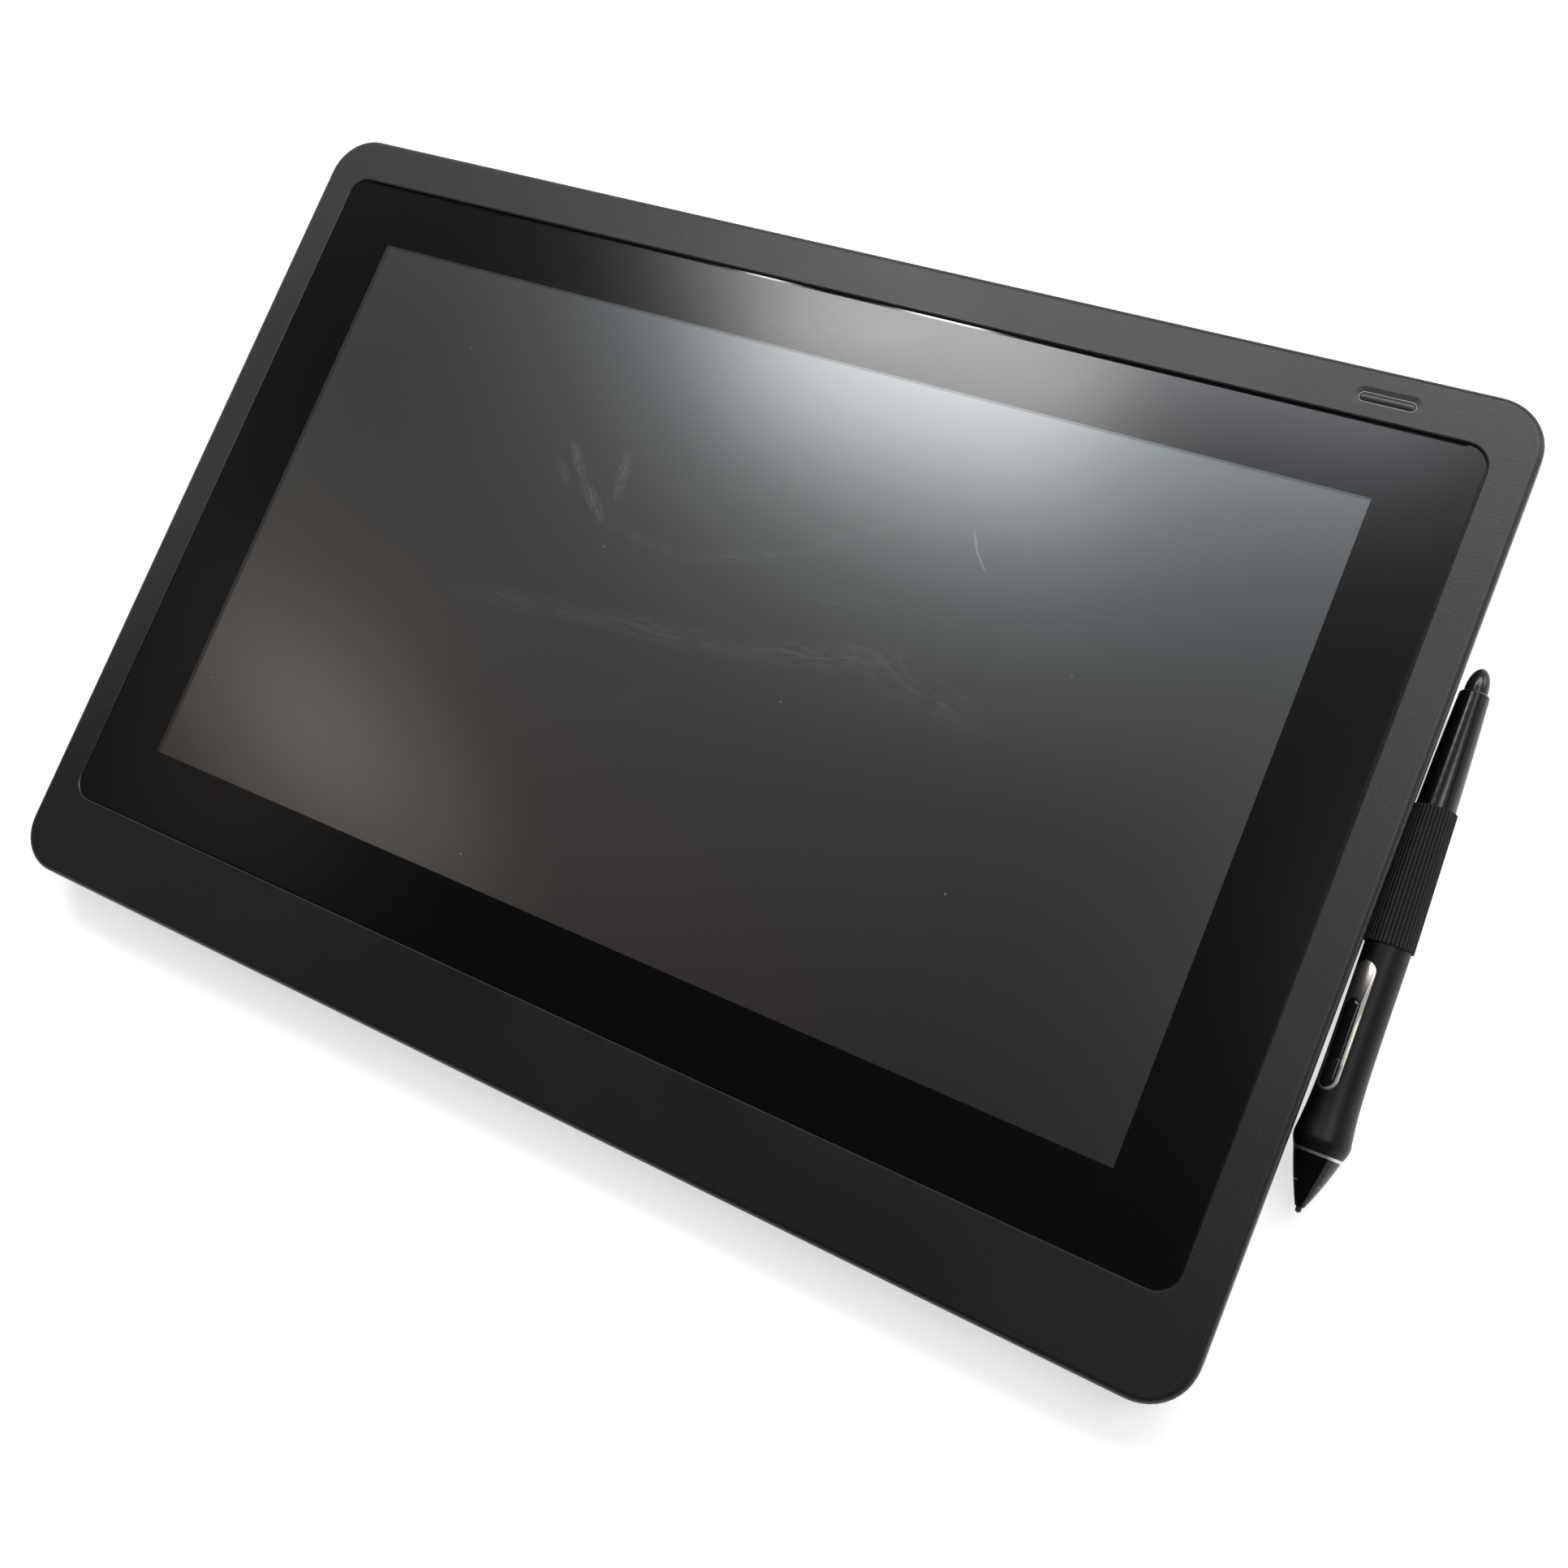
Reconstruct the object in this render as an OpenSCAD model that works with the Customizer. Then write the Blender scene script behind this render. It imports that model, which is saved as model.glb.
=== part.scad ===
// Graphics tablet with a screen. It lies flat on its rubber feet with the legs folded in,
// and its pen is held in an elastic loop at the right side.
// Sizes are in mm. +X runs to the right, +Y to the top edge and +Z out of the screen.
// The origin is on the desk under the middle of the case.

/* [Screen] */
// Width of the picture
active_w = 344.2; // [330:0.2:356]
// Height of the picture
active_d = 193.6; // [186:0.2:202]
// Margin of the window beside the picture
window_margin_x = 1.15; // [0.6:0.05:2]
// Margin of the window above and below the picture
window_margin_y = 0.85; // [0.5:0.05:2]
// Black border beside the window
border_side = 25.1; // [22:0.05:30]
// Black border above the window
border_top = 21.55; // [19:0.05:26]
// Black border below the window
border_bottom = 24.15; // [21:0.05:30]
// Thickness of the cover glass
glass_t = 1.1; // [0.8:0.1:1.6]
// Corner radius of the cover glass
glass_r = 6.5; // [4:0.5:10]
// Round of the front edge of the glass
glass_edge = 0.3; // [0.1:0.05:0.5]
// Depth of the glass below the front face
glass_drop = 0.3; // [0.1:0.05:0.6]
// Gap round the glass
glass_gap = 0.45; // [0.3:0.05:0.8]

/* [Case] */
// Bezel beside the glass
bezel_side = 12.65; // [12.2:0.05:16]
// Bezel above the glass
bezel_top = 15.75; // [15:0.05:20]
// Bezel below the glass
bezel_bottom = 28.25; // [22:0.05:34]
// Height of the front face above the desk
case_h = 24.5; // [24:0.1:28]
// Corner radius of the case
case_r = 15; // [14:0.5:18]
// Wall of both shells
wall = 2.2; // [1.8:0.1:2.6]
// Round of the front edge
front_round = 2; // [1:0.1:2.5]
// Round of the back edge
back_round = 10; // [8:0.5:10.5]
// Height of the seam between bezel and rear cover
seam_z = 15.5; // [15.2:0.1:16]
// Step of the rear cover inside the bezel
seam_step = 0.3; // [0.1:0.05:0.5]
// Ledge that carries the glass
ledge = 9; // [8:0.5:10]
// Chamfer round the glass pocket
pocket_chamfer = 0.4; // [0.2:0.05:0.6]

/* [Power button] */
// Length of the button with its ring
button_len = 16; // [12:0.5:20]
// Width of the button with its ring
button_w = 3.1; // [2.6:0.1:3.6]
// Distance of the button from the right edge
button_in_x = 43.1; // [36:0.1:60]
// Distance of the button from the top edge
button_in_y = 9.2; // [8.6:0.1:9.6]
// Travel of the button
button_travel = 0.5; // [0.3:0.1:0.6]

/* [Legs] */
// Distance of each leg from the middle
leg_x = 128; // [120:1:140]
// Width of a leg
leg_w = 58; // [40:1:64]
// Length of a leg from its hinge axis
leg_len = 78; // [66:1:80]
// Thickness of a leg
leg_t = 6.4; // [5.6:0.1:6.8]
// Distance of the hinge axis from the top edge
hinge_in_y = 40.5; // [38:0.5:46]
// Radius of the hinge pin
pin_r = 1.5; // [1.2:0.1:1.8]
// Angle to which a leg opens
leg_open = 95; // [80:1:100]

/* [Feet and screws] */
// Height of the feet below the back
foot_h = 2; // [1.5:0.1:2.5]
// Length of a foot
foot_len = 60; // [40:1:70]
// Width of a foot
foot_w = 9; // [7:0.5:11]
// Radius of a screw shank
screw_r = 1.2; // [1:0.05:1.3]

/* [Pen] */
// Length of the pen
pen_len = 153.4; // [148:0.2:158]
// Height of the pen's axis above the desk
pen_z = 12.6; // [12.2:0.1:12.8]
// Distance of the pen's tip from the side of the case
pen_side = 8.2; // [7.9:0.05:8.6]
// Tip of the pen below the middle of the case
pen_tip_in = 82.1; // [75:0.1:90]
// Turn of the pen away from the side of the case
pen_yaw = 1.44; // [1.2:0.02:1.6]
// Largest radius of the grip
flare_r = 7.4; // [7:0.1:7.6]
// Radius of the grip behind the flare
grip_r = 6.05; // [5.9:0.05:6.15]
// Radius of the barrel at the eraser
tail_r = 3.95; // [3.8:0.05:4.2]
// Radius of the nib
nib_r = 0.8; // [0.7:0.05:0.9]
// Turn of the side switch from straight up towards the case
switch_turn = 38; // [20:1:50]
// Width of the switch frame
frame_w = 6.4; // [6:0.1:7]

/* [Pen loop] */
// Length of the loop along the pen
loop_len = 39; // [30:1:42]
// Start of the loop behind the pen's tip
loop_s0 = 73.5; // [73:0.5:76]
// Thickness of the elastic
loop_t = 0.55; // [0.4:0.05:0.7]
// Room between the elastic and the pen
loop_gap = 0.15; // [0.1:0.05:0.25]

/* [Fits] */
// Room round a pin in a leg
pin_fit = 0.05; // [0.03:0.01:0.09]
// Room round a part that slides in the pen
slide_fit = 0.06; // [0.04:0.01:0.09]
// Room round a part that is pressed or screwed in
seat_fit = 0.02; // [0.01:0.01:0.04]
// Room round a part that is laid in
lay_fit = 0.15; // [0.1:0.05:0.3]
// Room at each side of a folded leg
leg_gap = 0.5; // [0.3:0.1:0.8]

/* [Hidden] */
$fn = 72;
window_w = active_w + 2 * window_margin_x;
window_d = active_d + 2 * window_margin_y;
glass_w = window_w + 2 * border_side;
glass_d = window_d + border_top + border_bottom;
case_w = glass_w + 2 * bezel_side;
case_d = glass_d + bezel_top + bezel_bottom;
glass_y = (bezel_bottom - bezel_top) / 2;
window_y = glass_y + (border_bottom - border_top) / 2;
pocket_w = glass_w + 2 * glass_gap;
pocket_d = glass_d + 2 * glass_gap;
pocket_r = glass_r + glass_gap;
back_z = foot_h;
floor_t = 2;
floor_z = back_z + floor_t;
liner = 1.5;
// Levels of the layers behind the glass, from the front face down
glass_z = case_h - glass_drop - glass_t;
mask_t = 0.1;
mask_z = glass_z - mask_t;
tape_t = 0.25;
ledge_z1 = mask_z - tape_t;
ledge_t = 1.4;
ledge_z0 = ledge_z1 - ledge_t;
face_z = case_h - wall;
gasket_t = 0.5;
lcd_z1 = mask_z - gasket_t;
cell_t = 1.3;
diffuser_t = 0.4;
guide_t = 2.6;
tray_floor = 0.8;
cell_z = lcd_z1 - cell_t;
diffuser_z = cell_z - diffuser_t;
guide_z = diffuser_z - guide_t;
tray_z = guide_z - tray_floor;
sensor_t = 0.8;
sensor_z = tray_z - sensor_t;
shield_t = 0.3;
shield_z = sensor_z - shield_t;
chassis_t = 1.2;
chassis_z = shield_z - chassis_t;
tray_w = active_w + 17.8;
tray_d = active_d + 23.4;
tray_wall = 1.2;
cell_w = tray_w - 2 * tray_wall - 2 * lay_fit;
cell_d = tray_d - 2 * tray_wall - 2 * lay_fit;
led_d = 4;
sensor_w = tray_w - 4;
sensor_d = tray_d - 4;
chassis_w = glass_w - 1;
chassis_d = glass_d - 1;
tongue_in = wall + lay_fit;
tongue_h = 1.5;
// Screws of the case go through columns of the rear cover into bosses of the bezel
boss_z = seam_z - 1.5;
boss_r = 3.2;
column_r = 4.2;
rim_x = glass_w / 2 - ledge / 2;
rim_y1 = glass_y + glass_d / 2 - ledge / 2;
rim_y0 = glass_y - glass_d / 2 + ledge / 2;
low_y = -case_d / 2 + bezel_bottom / 2;
inner_x = 65;
mid_y = -60;
case_screw_at = [
  [-rim_x, rim_y1], [rim_x, rim_y1], [-inner_x, rim_y1], [inner_x, rim_y1],
  [-rim_x, mid_y], [rim_x, mid_y],
  [-rim_x, low_y], [rim_x, low_y], [-inner_x, low_y], [inner_x, low_y]
];
chassis_x = 120;
chassis_y1 = 85;
chassis_y0 = -25;
chassis_screw_at = [
  [-rim_x, chassis_y1], [rim_x, chassis_y1], [-rim_x, chassis_y0], [rim_x, chassis_y0],
  [-chassis_x, rim_y1], [chassis_x, rim_y1], [-chassis_x, rim_y0], [chassis_x, rim_y0]
];
head_r = 2.3;
head_h = 1.6;
head_room = 0.4;
case_seat_z = boss_z - 3.5;
case_screw_len = 8.5;
foot_in_x = 61;
foot_in_y = 21.2;
foot_x = case_w / 2 - foot_in_x;
foot_y = case_d / 2 - foot_in_y;
foot_sink = 0.6;
// Power button
button_x = case_w / 2 - button_in_x;
button_y = case_d / 2 - button_in_y;
pill_len = button_len - button_w;
ring_r = button_w / 2;
ring_t = 0.25;
dish_w = 1.5;
dish_h = 0.25;
cap_r = ring_r - ring_t - 0.1;
cap_rise = 0.15;
crown_r = 2.4;
flange_t = 0.8;
flange_z = face_z - 0.2 - flange_t;
key_top_z = flange_z - button_travel - 0.3;
button_board_t = 1;
button_board_z = key_top_z - 2.6;
button_peg = 13;
button_board_w = 34;
button_board_d = 7.6;
button_cable_in = 9;
key_w = 6;
key_h = 1;
// Legs
hinge_y = case_d / 2 - hinge_in_y;
hinge_r = leg_t / 2;
leg_sink = 0.3;
hinge_z = back_z + leg_sink + hinge_r;
pocket_z = hinge_z + hinge_r + 0.4;
lean = leg_open - 90;
leg_stop = hinge_r / cos(lean) + (hinge_z - back_z) * abs(tan(lean)) + 0.4;
leg_pocket_w = leg_w + 2 * leg_gap;
leg_pocket_y0 = hinge_y - leg_len - 0.6;
leg_pocket_y1 = hinge_y + leg_stop;
hinge_boss = 5;
pin_len = leg_pocket_w + 2 * hinge_boss - 1;
toe_len = 8;
toe_tongue = 2.4;
notch_w = 26;
notch_d = 10;
notch_h = 5.5;
// Spare nibs and puller in the roof of the right leg's pocket
nib_len = 24;
store_t = 3.2;
store_y = hinge_y - 40;
nib_sink = 0.45;
puller_len = 14;
puller_w = 8;
puller_t = 1.6;
puller_x = leg_x + leg_w / 2 - 9;
nib_pitch = 4.5;
store_side = 2;
// Cable socket in a recess of the back, open to the top edge
recess_w = 48;
recess_d = 28.5;
recess_h = 9;
recess_in_y = 49;
recess_y0 = case_d / 2 - recess_in_y;
channel_w = 12;
channel_h = 7;
socket_w = 28;
socket_d = 15;
socket_h = 5;
board_t = 1.2;
board_w = 150;
board_d = 84;
board_y1 = recess_y0 - liner - 0.2;
board_y0 = board_y1 - board_d;
board_z = floor_z + 0.6 + socket_h;
connector_h = 2;
connector_d = 6;
connector_side = 2;
board_edge = 5;
board_screw_at = [
  [board_edge - board_w / 2, board_y0 + board_edge], [board_w / 2 - board_edge, board_y0 + board_edge],
  [board_edge - board_w / 2, board_y1 - board_edge], [board_w / 2 - board_edge, board_y1 - board_edge]
];
// Chips under the main board: left side, distance from its lower edge, width, depth and height
chips = [
  [-52, 14, 14, 14, 1.6], [-30, 12, 9, 12, 1.2], [36, 16, 10, 10, 3], [52, 16, 10, 10, 3],
  [-60, 44, 18, 10, 1.4]
];
can_x = -14;
can_in = 12;
can_w = 40;
can_d = 34;
can_h = 3;
can_t = 0.4;
small_r = 0.9;
small_head_r = 1.8;
small_head_h = 1.2;
small_len = 3.6;
chassis_screw_len = 4.4;
flex_t = 0.3;
panel_flex_w = 20;
panel_flex_x = 30;
sensor_flex_w = 18;
sensor_flex_x = -40;
button_flex_w = 6;
button_plug_y = board_y1 - 22;
button_plug_x = board_w / 2 - 14;
button_plug_w = 8;
sensor_flex_y = board_y1 - 30;
// Pen, measured along its own axis from the tip
pen_tip_x = case_w / 2 + pen_side;
tip_s0 = 1.6;
tip_s1 = 8;
ring_s0 = 15.6;
ring_s1 = 16.4;
crest_s = 20;
grip_s1 = 75;
tail_s = pen_len - 7.3;
core_r = 4.9;
bore_r = 3.6;
spigot_r = 2.6;
nose_spigot_r = 3.5;
nose_spigot_len = 6;
eraser_r = 3.1;
eraser_stem_r = 2.2;
eraser_stem_in = 9;
eraser_travel = 0.8;
eraser_coil_len = 6;
eraser_coil_s = tail_s - eraser_stem_in - eraser_travel - 0.1 - eraser_coil_len;
bore_s1 = eraser_coil_s - 4.8;
nib_travel = 0.5;
coil_len = 9;
sensor_s = nib_len + nib_travel + 0.1;
sensor_len = 8;
pen_board_s0 = sensor_s + sensor_len + 1.4;
pen_board_s1 = bore_s1 - 7.4;
pen_board_w = 4.8;
pen_board_t = 0.8;
pen_board_low = 1.2;
tail_chamfer = 0.5;
frame_s0 = 32;
frame_s1 = 68;
frame_proud = 0.15;
frame_rim = 0.9;
pivot_s = 41;
plate_s = 57.4;
switch_floor = 3.9;
pad_floor = 4.9;
pad_r = 3.2;
front_pad_r = 16;
rear_pad_r = 44;
switch_w = frame_w - 2 * frame_rim - 0.3;
switch_s0 = frame_s0 + frame_rim + 0.15;
switch_s1 = plate_s - 0.15;
loop_s1 = loop_s0 + loop_len;
loop_r0 = grip_r + loop_gap;
loop_r1 = barrel_r(loop_s1) + loop_gap;
rest_gap = 0.25;
ply_gap = 0.9;
neck_in = 10.8;
slot_y = -pen_tip_in + (loop_s0 + loop_len / 2) * cos(pen_yaw);
slot_len = loop_len + 2.4;
slot_h = ply_gap + 2 * loop_t + 0.5;
chamber_h = 4.2;
bar_h = 3.8;
steps = 12;

function nose_r(s) = 0.508 + 0.4576 * s - 0.00576 * s * s;
function front_flare(s) = nose_r(ring_s0) + 0.2
  + (flare_r - nose_r(ring_s0) - 0.2) * sin(90 * (s - ring_s1) / (crest_s - ring_s1));
function back_flare(s) = grip_r + (flare_r - grip_r) * exp(-pow((s - crest_s) / 9, 1.15));
function barrel_r(s) = grip_r - 0.3
  - (grip_r - 0.3 - tail_r) * pow((s - grip_s1) / (tail_s - grip_s1), 1.9);
function eraser_out(s) = eraser_r * sqrt(max(0, 1 - pow((s - tail_s - 0.9) / (pen_len - tail_s - 0.9), 2)));

module quarter(r) {
  intersection() {
    circle(r);
    square(r);
  }
}

module half_disc(r) {
  intersection() {
    circle(r);
    translate([-r, 0]) square([2 * r, r]);
  }
}

module rounded_rect(w, d, r) {
  square([w - 2 * r, d], center = true);
  for (sx = [-1, 1]) {
    translate([sx * (w - r) / 2, 0]) square([r, d - 2 * r], center = true);
  }
  for (sx = [0, 1], sy = [0, 1]) {
    mirror([sx, 0]) mirror([0, sy]) translate([w / 2 - r, d / 2 - r]) quarter(r);
  }
}

module plate(w, d, r, h) {
  linear_extrude(h) rounded_rect(w, d, r);
}

// Upright 2D pill, long along Y
module pill(w, len) {
  square([w, len - w], center = true);
  for (sy = [0, 1]) {
    mirror([0, sy]) translate([0, (len - w) / 2]) half_disc(w / 2);
  }
}

// Profile of a slab with a rounded top edge
module top_round(r, h, f) {
  square([r - f, h]);
  translate([r - f, 0]) square([f, h - f]);
  translate([r - f, h - f]) quarter(f);
}

// Profile of a slab with a rounded bottom edge
module bottom_round(r, h, f) {
  square([r - f, h]);
  translate([r - f, f]) square([f, h - f]);
  translate([r - f, f]) mirror([0, 1]) quarter(f);
}

// Slab whose edge profile, measured from the centre of its corners, is the child
module rounded_slab(w, d, r, h) {
  translate([r - w / 2, r - d / 2, 0]) cube([w - 2 * r, d - 2 * r, h]);
  for (sx = [0, 1], sy = [0, 1]) {
    mirror([sx, 0, 0]) mirror([0, sy, 0]) translate([w / 2 - r, d / 2 - r, 0])
      rotate_extrude(angle = 90) children();
  }
  for (sx = [0, 1]) {
    mirror([sx, 0, 0]) translate([w / 2 - r, d / 2 - r, 0])
      rotate([90, 0, 0]) linear_extrude(d - 2 * r) children();
  }
  for (sy = [0, 1]) {
    mirror([0, sy, 0]) translate([r - w / 2, d / 2 - r, 0])
      rotate([90, 0, 90]) linear_extrude(w - 2 * r) children();
  }
}

// Solid swept round a straight line along X, with the child as half profile
module pill_turn(len) {
  for (sx = [0, 1]) {
    mirror([sx, 0, 0]) translate([len / 2, 0, 0]) rotate([0, 0, -90])
      rotate_extrude(angle = 180) children();
  }
  translate([-len / 2, 0, 0]) rotate([90, 0, 90]) linear_extrude(len) {
    children();
    mirror([1, 0]) children();
  }
}

module screw(r, len, hr, hh) {
  difference() {
    union() {
      cylinder(r = r, h = len);
      translate([0, 0, -hh]) cylinder(r = hr, h = hh);
    }
    for (a = [0, 90]) {
      rotate(a) translate([-hr * 0.6, -0.3, -hh - 0.1]) cube([hr * 1.2, 0.6, hh * 0.6 + 0.1]);
    }
  }
}

module pen_place() {
  translate([pen_tip_x, -pen_tip_in, pen_z]) rotate([0, 0, pen_yaw]) rotate([-90, 0, 0]) children();
}

// Body of revolution between an inner radius and a list of radii along the pen
module turned(stations, r_in) {
  n = len(stations) - 1;
  rotate_extrude() polygon(concat(
    [[r_in, stations[0][1]]], stations, [[r_in, stations[n][1]]]));
}

// Prism that stands on the pen over a pill from s0 to s1, from radius y0 outwards
module over_pen(w, s0, s1, y0) {
  rotate(-switch_turn) translate([0, -y0, (s0 + s1) / 2])
    rotate([90, 0, 0]) linear_extrude(flare_r + 1 - y0) pill(w, s1 - s0);
}

// Outer stations of the grip, with a rise above its surface
function grip_stations(rise) = concat(
  [for (i = [0 : steps]) let (s = ring_s1 + (crest_s - ring_s1) * i / steps) [front_flare(s) + rise, s]],
  [for (i = [1 : 2 * steps]) let (t = i / (2 * steps), s = crest_s + (grip_s1 - 1 - crest_s) * t * t)
    [back_flare(s) + rise, s]],
  [[grip_r - 0.08 + rise, grip_s1 - 0.4], [grip_r - 0.25 + rise, grip_s1]]);

// Loop shape round the pen, grown by a margin
module loop_cone(grow, more) {
  translate([0, 0, loop_s0 - more])
    cylinder(r1 = loop_r0 + grow, r2 = loop_r1 + grow, h = loop_len + 2 * more);
}

module pen_rest() {
  for (sx = [0, 1]) {
    mirror([sx, 0, 0]) pen_place() loop_cone(loop_t + rest_gap, 1);
  }
}

module front_bezel() color("#3b3a38") {
  difference() {
    union() {
      difference() {
        translate([0, 0, seam_z]) rounded_slab(case_w, case_d, case_r, case_h - seam_z)
          top_round(case_r, case_h - seam_z, front_round);
        translate([0, 0, seam_z - 1])
          plate(case_w - 2 * wall, case_d - 2 * wall, case_r - wall, face_z - seam_z + 1);
      }
      translate([0, glass_y, ledge_z0])
        plate(pocket_w + 3.2, pocket_d + 3.2, pocket_r + 1.6, face_z - ledge_z0 + 0.6);
      for (p = case_screw_at) {
        translate([p[0], p[1], boss_z]) cylinder(r = boss_r, h = face_z - boss_z + 0.3);
      }
      for (p = chassis_screw_at) {
        translate([p[0], p[1], chassis_z + chassis_t]) cylinder(r = 2.6, h = ledge_z0 - chassis_z);
      }
      for (sx = [-1, 1]) {
        translate([button_x + sx * button_peg, button_y, button_board_z + button_board_t])
          cylinder(r = 2, h = face_z - button_board_z);
      }
    }
    translate([0, glass_y, ledge_z1]) plate(pocket_w, pocket_d, pocket_r, 5);
    translate([0, glass_y, case_h - pocket_chamfer])
      rounded_slab(pocket_w, pocket_d, pocket_r, pocket_chamfer + 1)
        polygon([[0, 0], [pocket_r, 0], [pocket_r + pocket_chamfer, pocket_chamfer],
          [pocket_r + pocket_chamfer, pocket_chamfer + 1], [0, pocket_chamfer + 1]]);
    translate([0, glass_y, ledge_z0 - 1]) plate(glass_w - 2 * ledge, glass_d - 2 * ledge, 3, 5);
    for (p = case_screw_at) {
      translate([p[0], p[1], boss_z - 1]) cylinder(r = screw_r + seat_fit, h = 7);
    }
    for (p = chassis_screw_at) {
      translate([p[0], p[1], chassis_z]) cylinder(r = small_r + seat_fit, h = 5);
    }
    for (sx = [-1, 1]) {
      translate([button_x + sx * button_peg, button_y, button_board_z])
        cylinder(r = small_r + seat_fit, h = 4);
    }
    translate([button_x, button_y, case_h]) pill_turn(pill_len)
      polygon([[0, -dish_h], [ring_r, -dish_h], [ring_r + dish_w, 0], [ring_r + dish_w, 1], [0, 1]]);
    translate([button_x, button_y, face_z - 1]) pill_turn(pill_len) square([ring_r + seat_fit, wall + 2]);
    pen_rest();
  }
}

module cover_glass() color("#16171a") {
  translate([0, glass_y, glass_z]) rounded_slab(glass_w, glass_d, glass_r, glass_t)
    top_round(glass_r, glass_t, glass_edge);
}

module border_mask() color("#0b0b0c") {
  translate([0, 0, mask_z]) linear_extrude(mask_t) difference() {
    translate([0, glass_y]) rounded_rect(glass_w - 0.4, glass_d - 0.4, glass_r - 0.2);
    translate([0, window_y]) square([window_w, window_d], center = true);
  }
}

module glass_tape() color("#202020") {
  translate([0, glass_y, ledge_z1]) linear_extrude(tape_t) difference() {
    rounded_rect(glass_w - 1, glass_d - 1, glass_r - 0.5);
    rounded_rect(glass_w - 2 * ledge + 2, glass_d - 2 * ledge + 2, 2);
  }
}

module lcd_gasket() color("#2b2b2b") {
  translate([0, window_y, lcd_z1]) linear_extrude(gasket_t) difference() {
    square([tray_w - 1, tray_d - 1], center = true);
    square([window_w + 4, window_d + 4], center = true);
  }
}

module lcd_panel() color("#332f2c") {
  translate([-cell_w / 2, window_y - cell_d / 2, cell_z]) cube([cell_w, cell_d, cell_t]);
}

module diffuser() color("#e9e9e4") {
  translate([-cell_w / 2, window_y - cell_d / 2, diffuser_z]) cube([cell_w, cell_d, diffuser_t]);
}

module light_guide() color("#dfe6e4") {
  translate([-cell_w / 2, window_y - cell_d / 2 + led_d + 0.1, guide_z])
    cube([cell_w, cell_d - led_d - 0.1, guide_t]);
}

module led_bar() color("#e8e0b8") {
  translate([-cell_w / 2, window_y - cell_d / 2, guide_z]) {
    cube([cell_w, 1.2, guide_t]);
    for (i = [0 : 23]) {
      translate([cell_w * (i + 0.5) / 24 - 2, 1, 0.5]) cube([4, led_d - 1, 1.6]);
    }
  }
}

module lcd_tray() color("#d8d8d6") {
  translate([0, window_y, tray_z]) difference() {
    translate([-tray_w / 2, -tray_d / 2, 0]) cube([tray_w, tray_d, lcd_z1 - tray_z]);
    translate([tray_wall - tray_w / 2, tray_wall - tray_d / 2, tray_floor])
      cube([tray_w - 2 * tray_wall, tray_d - 2 * tray_wall, lcd_z1 - tray_z]);
  }
}

module sensor_board() color("#1f5a38") {
  translate([-sensor_w / 2, window_y - sensor_d / 2, sensor_z]) cube([sensor_w, sensor_d, sensor_t]);
}

// Opening for the sensor board's flat cable
module sensor_flex_cut() {
  translate([sensor_flex_x - sensor_flex_w / 2 - connector_side, sensor_flex_y - 3, chassis_z - 1])
    cube([sensor_flex_w + 2 * connector_side, 6, sensor_z - chassis_z + 1]);
}

module shield_plate() color("#a9adb0") {
  difference() {
    translate([-sensor_w / 2, window_y - sensor_d / 2, shield_z]) cube([sensor_w, sensor_d, shield_t]);
    sensor_flex_cut();
  }
}

module chassis_plate() color("#8f9498") {
  difference() {
    union() {
      translate([0, glass_y, chassis_z]) plate(chassis_w, chassis_d, 5, chassis_t);
      for (p = board_screw_at) {
        translate([p[0], p[1], board_z + board_t])
          cylinder(r = 2.6, h = chassis_z - board_z - board_t + 0.4);
      }
    }
    for (p = case_screw_at) {
      translate([p[0], p[1], chassis_z - 1]) cylinder(r = column_r + 0.4, h = 4);
    }
    for (p = chassis_screw_at) {
      translate([p[0], p[1], chassis_z - 1]) cylinder(r = small_r + 0.15, h = 4);
    }
    for (p = board_screw_at) {
      translate([p[0], p[1], board_z]) cylinder(r = small_r + seat_fit, h = 4);
    }
    sensor_flex_cut();
    translate([panel_flex_x - panel_flex_w / 2 - connector_side, window_y - tray_d / 2 - 3, chassis_z - 1])
      cube([panel_flex_w + 2 * connector_side, 4, chassis_t + 2]);
  }
}

module chassis_screws() color("#b9bcc0") {
  for (p = chassis_screw_at) {
    translate([p[0], p[1], chassis_z]) screw(small_r, chassis_screw_len, small_head_r, small_head_h);
  }
}

// Socket of a flat cable on the upper side of the main board
module connector(x, y, w, d) {
  translate([x - w / 2, y, board_z + board_t - 0.1]) cube([w, d, connector_h + 0.1]);
}

module main_board() color("#1d4f33") {
  difference() {
    union() {
      translate([-board_w / 2, board_y0, board_z]) cube([board_w, board_d, board_t]);
      connector(panel_flex_x, board_y0 + 3, panel_flex_w + 2 * connector_side, connector_d);
      connector(sensor_flex_x, sensor_flex_y + 1, sensor_flex_w + 2 * connector_side, connector_d);
      connector(button_plug_x + button_plug_w / 2, button_plug_y, button_plug_w, button_plug_w);
      for (c = chips) {
        translate([c[0], board_y0 + c[1], board_z - c[4]]) cube([c[2], c[3], c[4] + 0.1]);
      }
    }
    for (p = board_screw_at) {
      translate([p[0], p[1], board_z - 1]) cylinder(r = small_r + 0.15, h = 4);
    }
  }
}

module shield_can() color("#c3c6c8") {
  translate([can_x, board_y0 + can_in, board_z - can_h]) difference() {
    cube([can_w, can_d, can_h]);
    translate([can_t, can_t, can_t]) cube([can_w - 2 * can_t, can_d - 2 * can_t, can_h]);
  }
}

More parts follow.
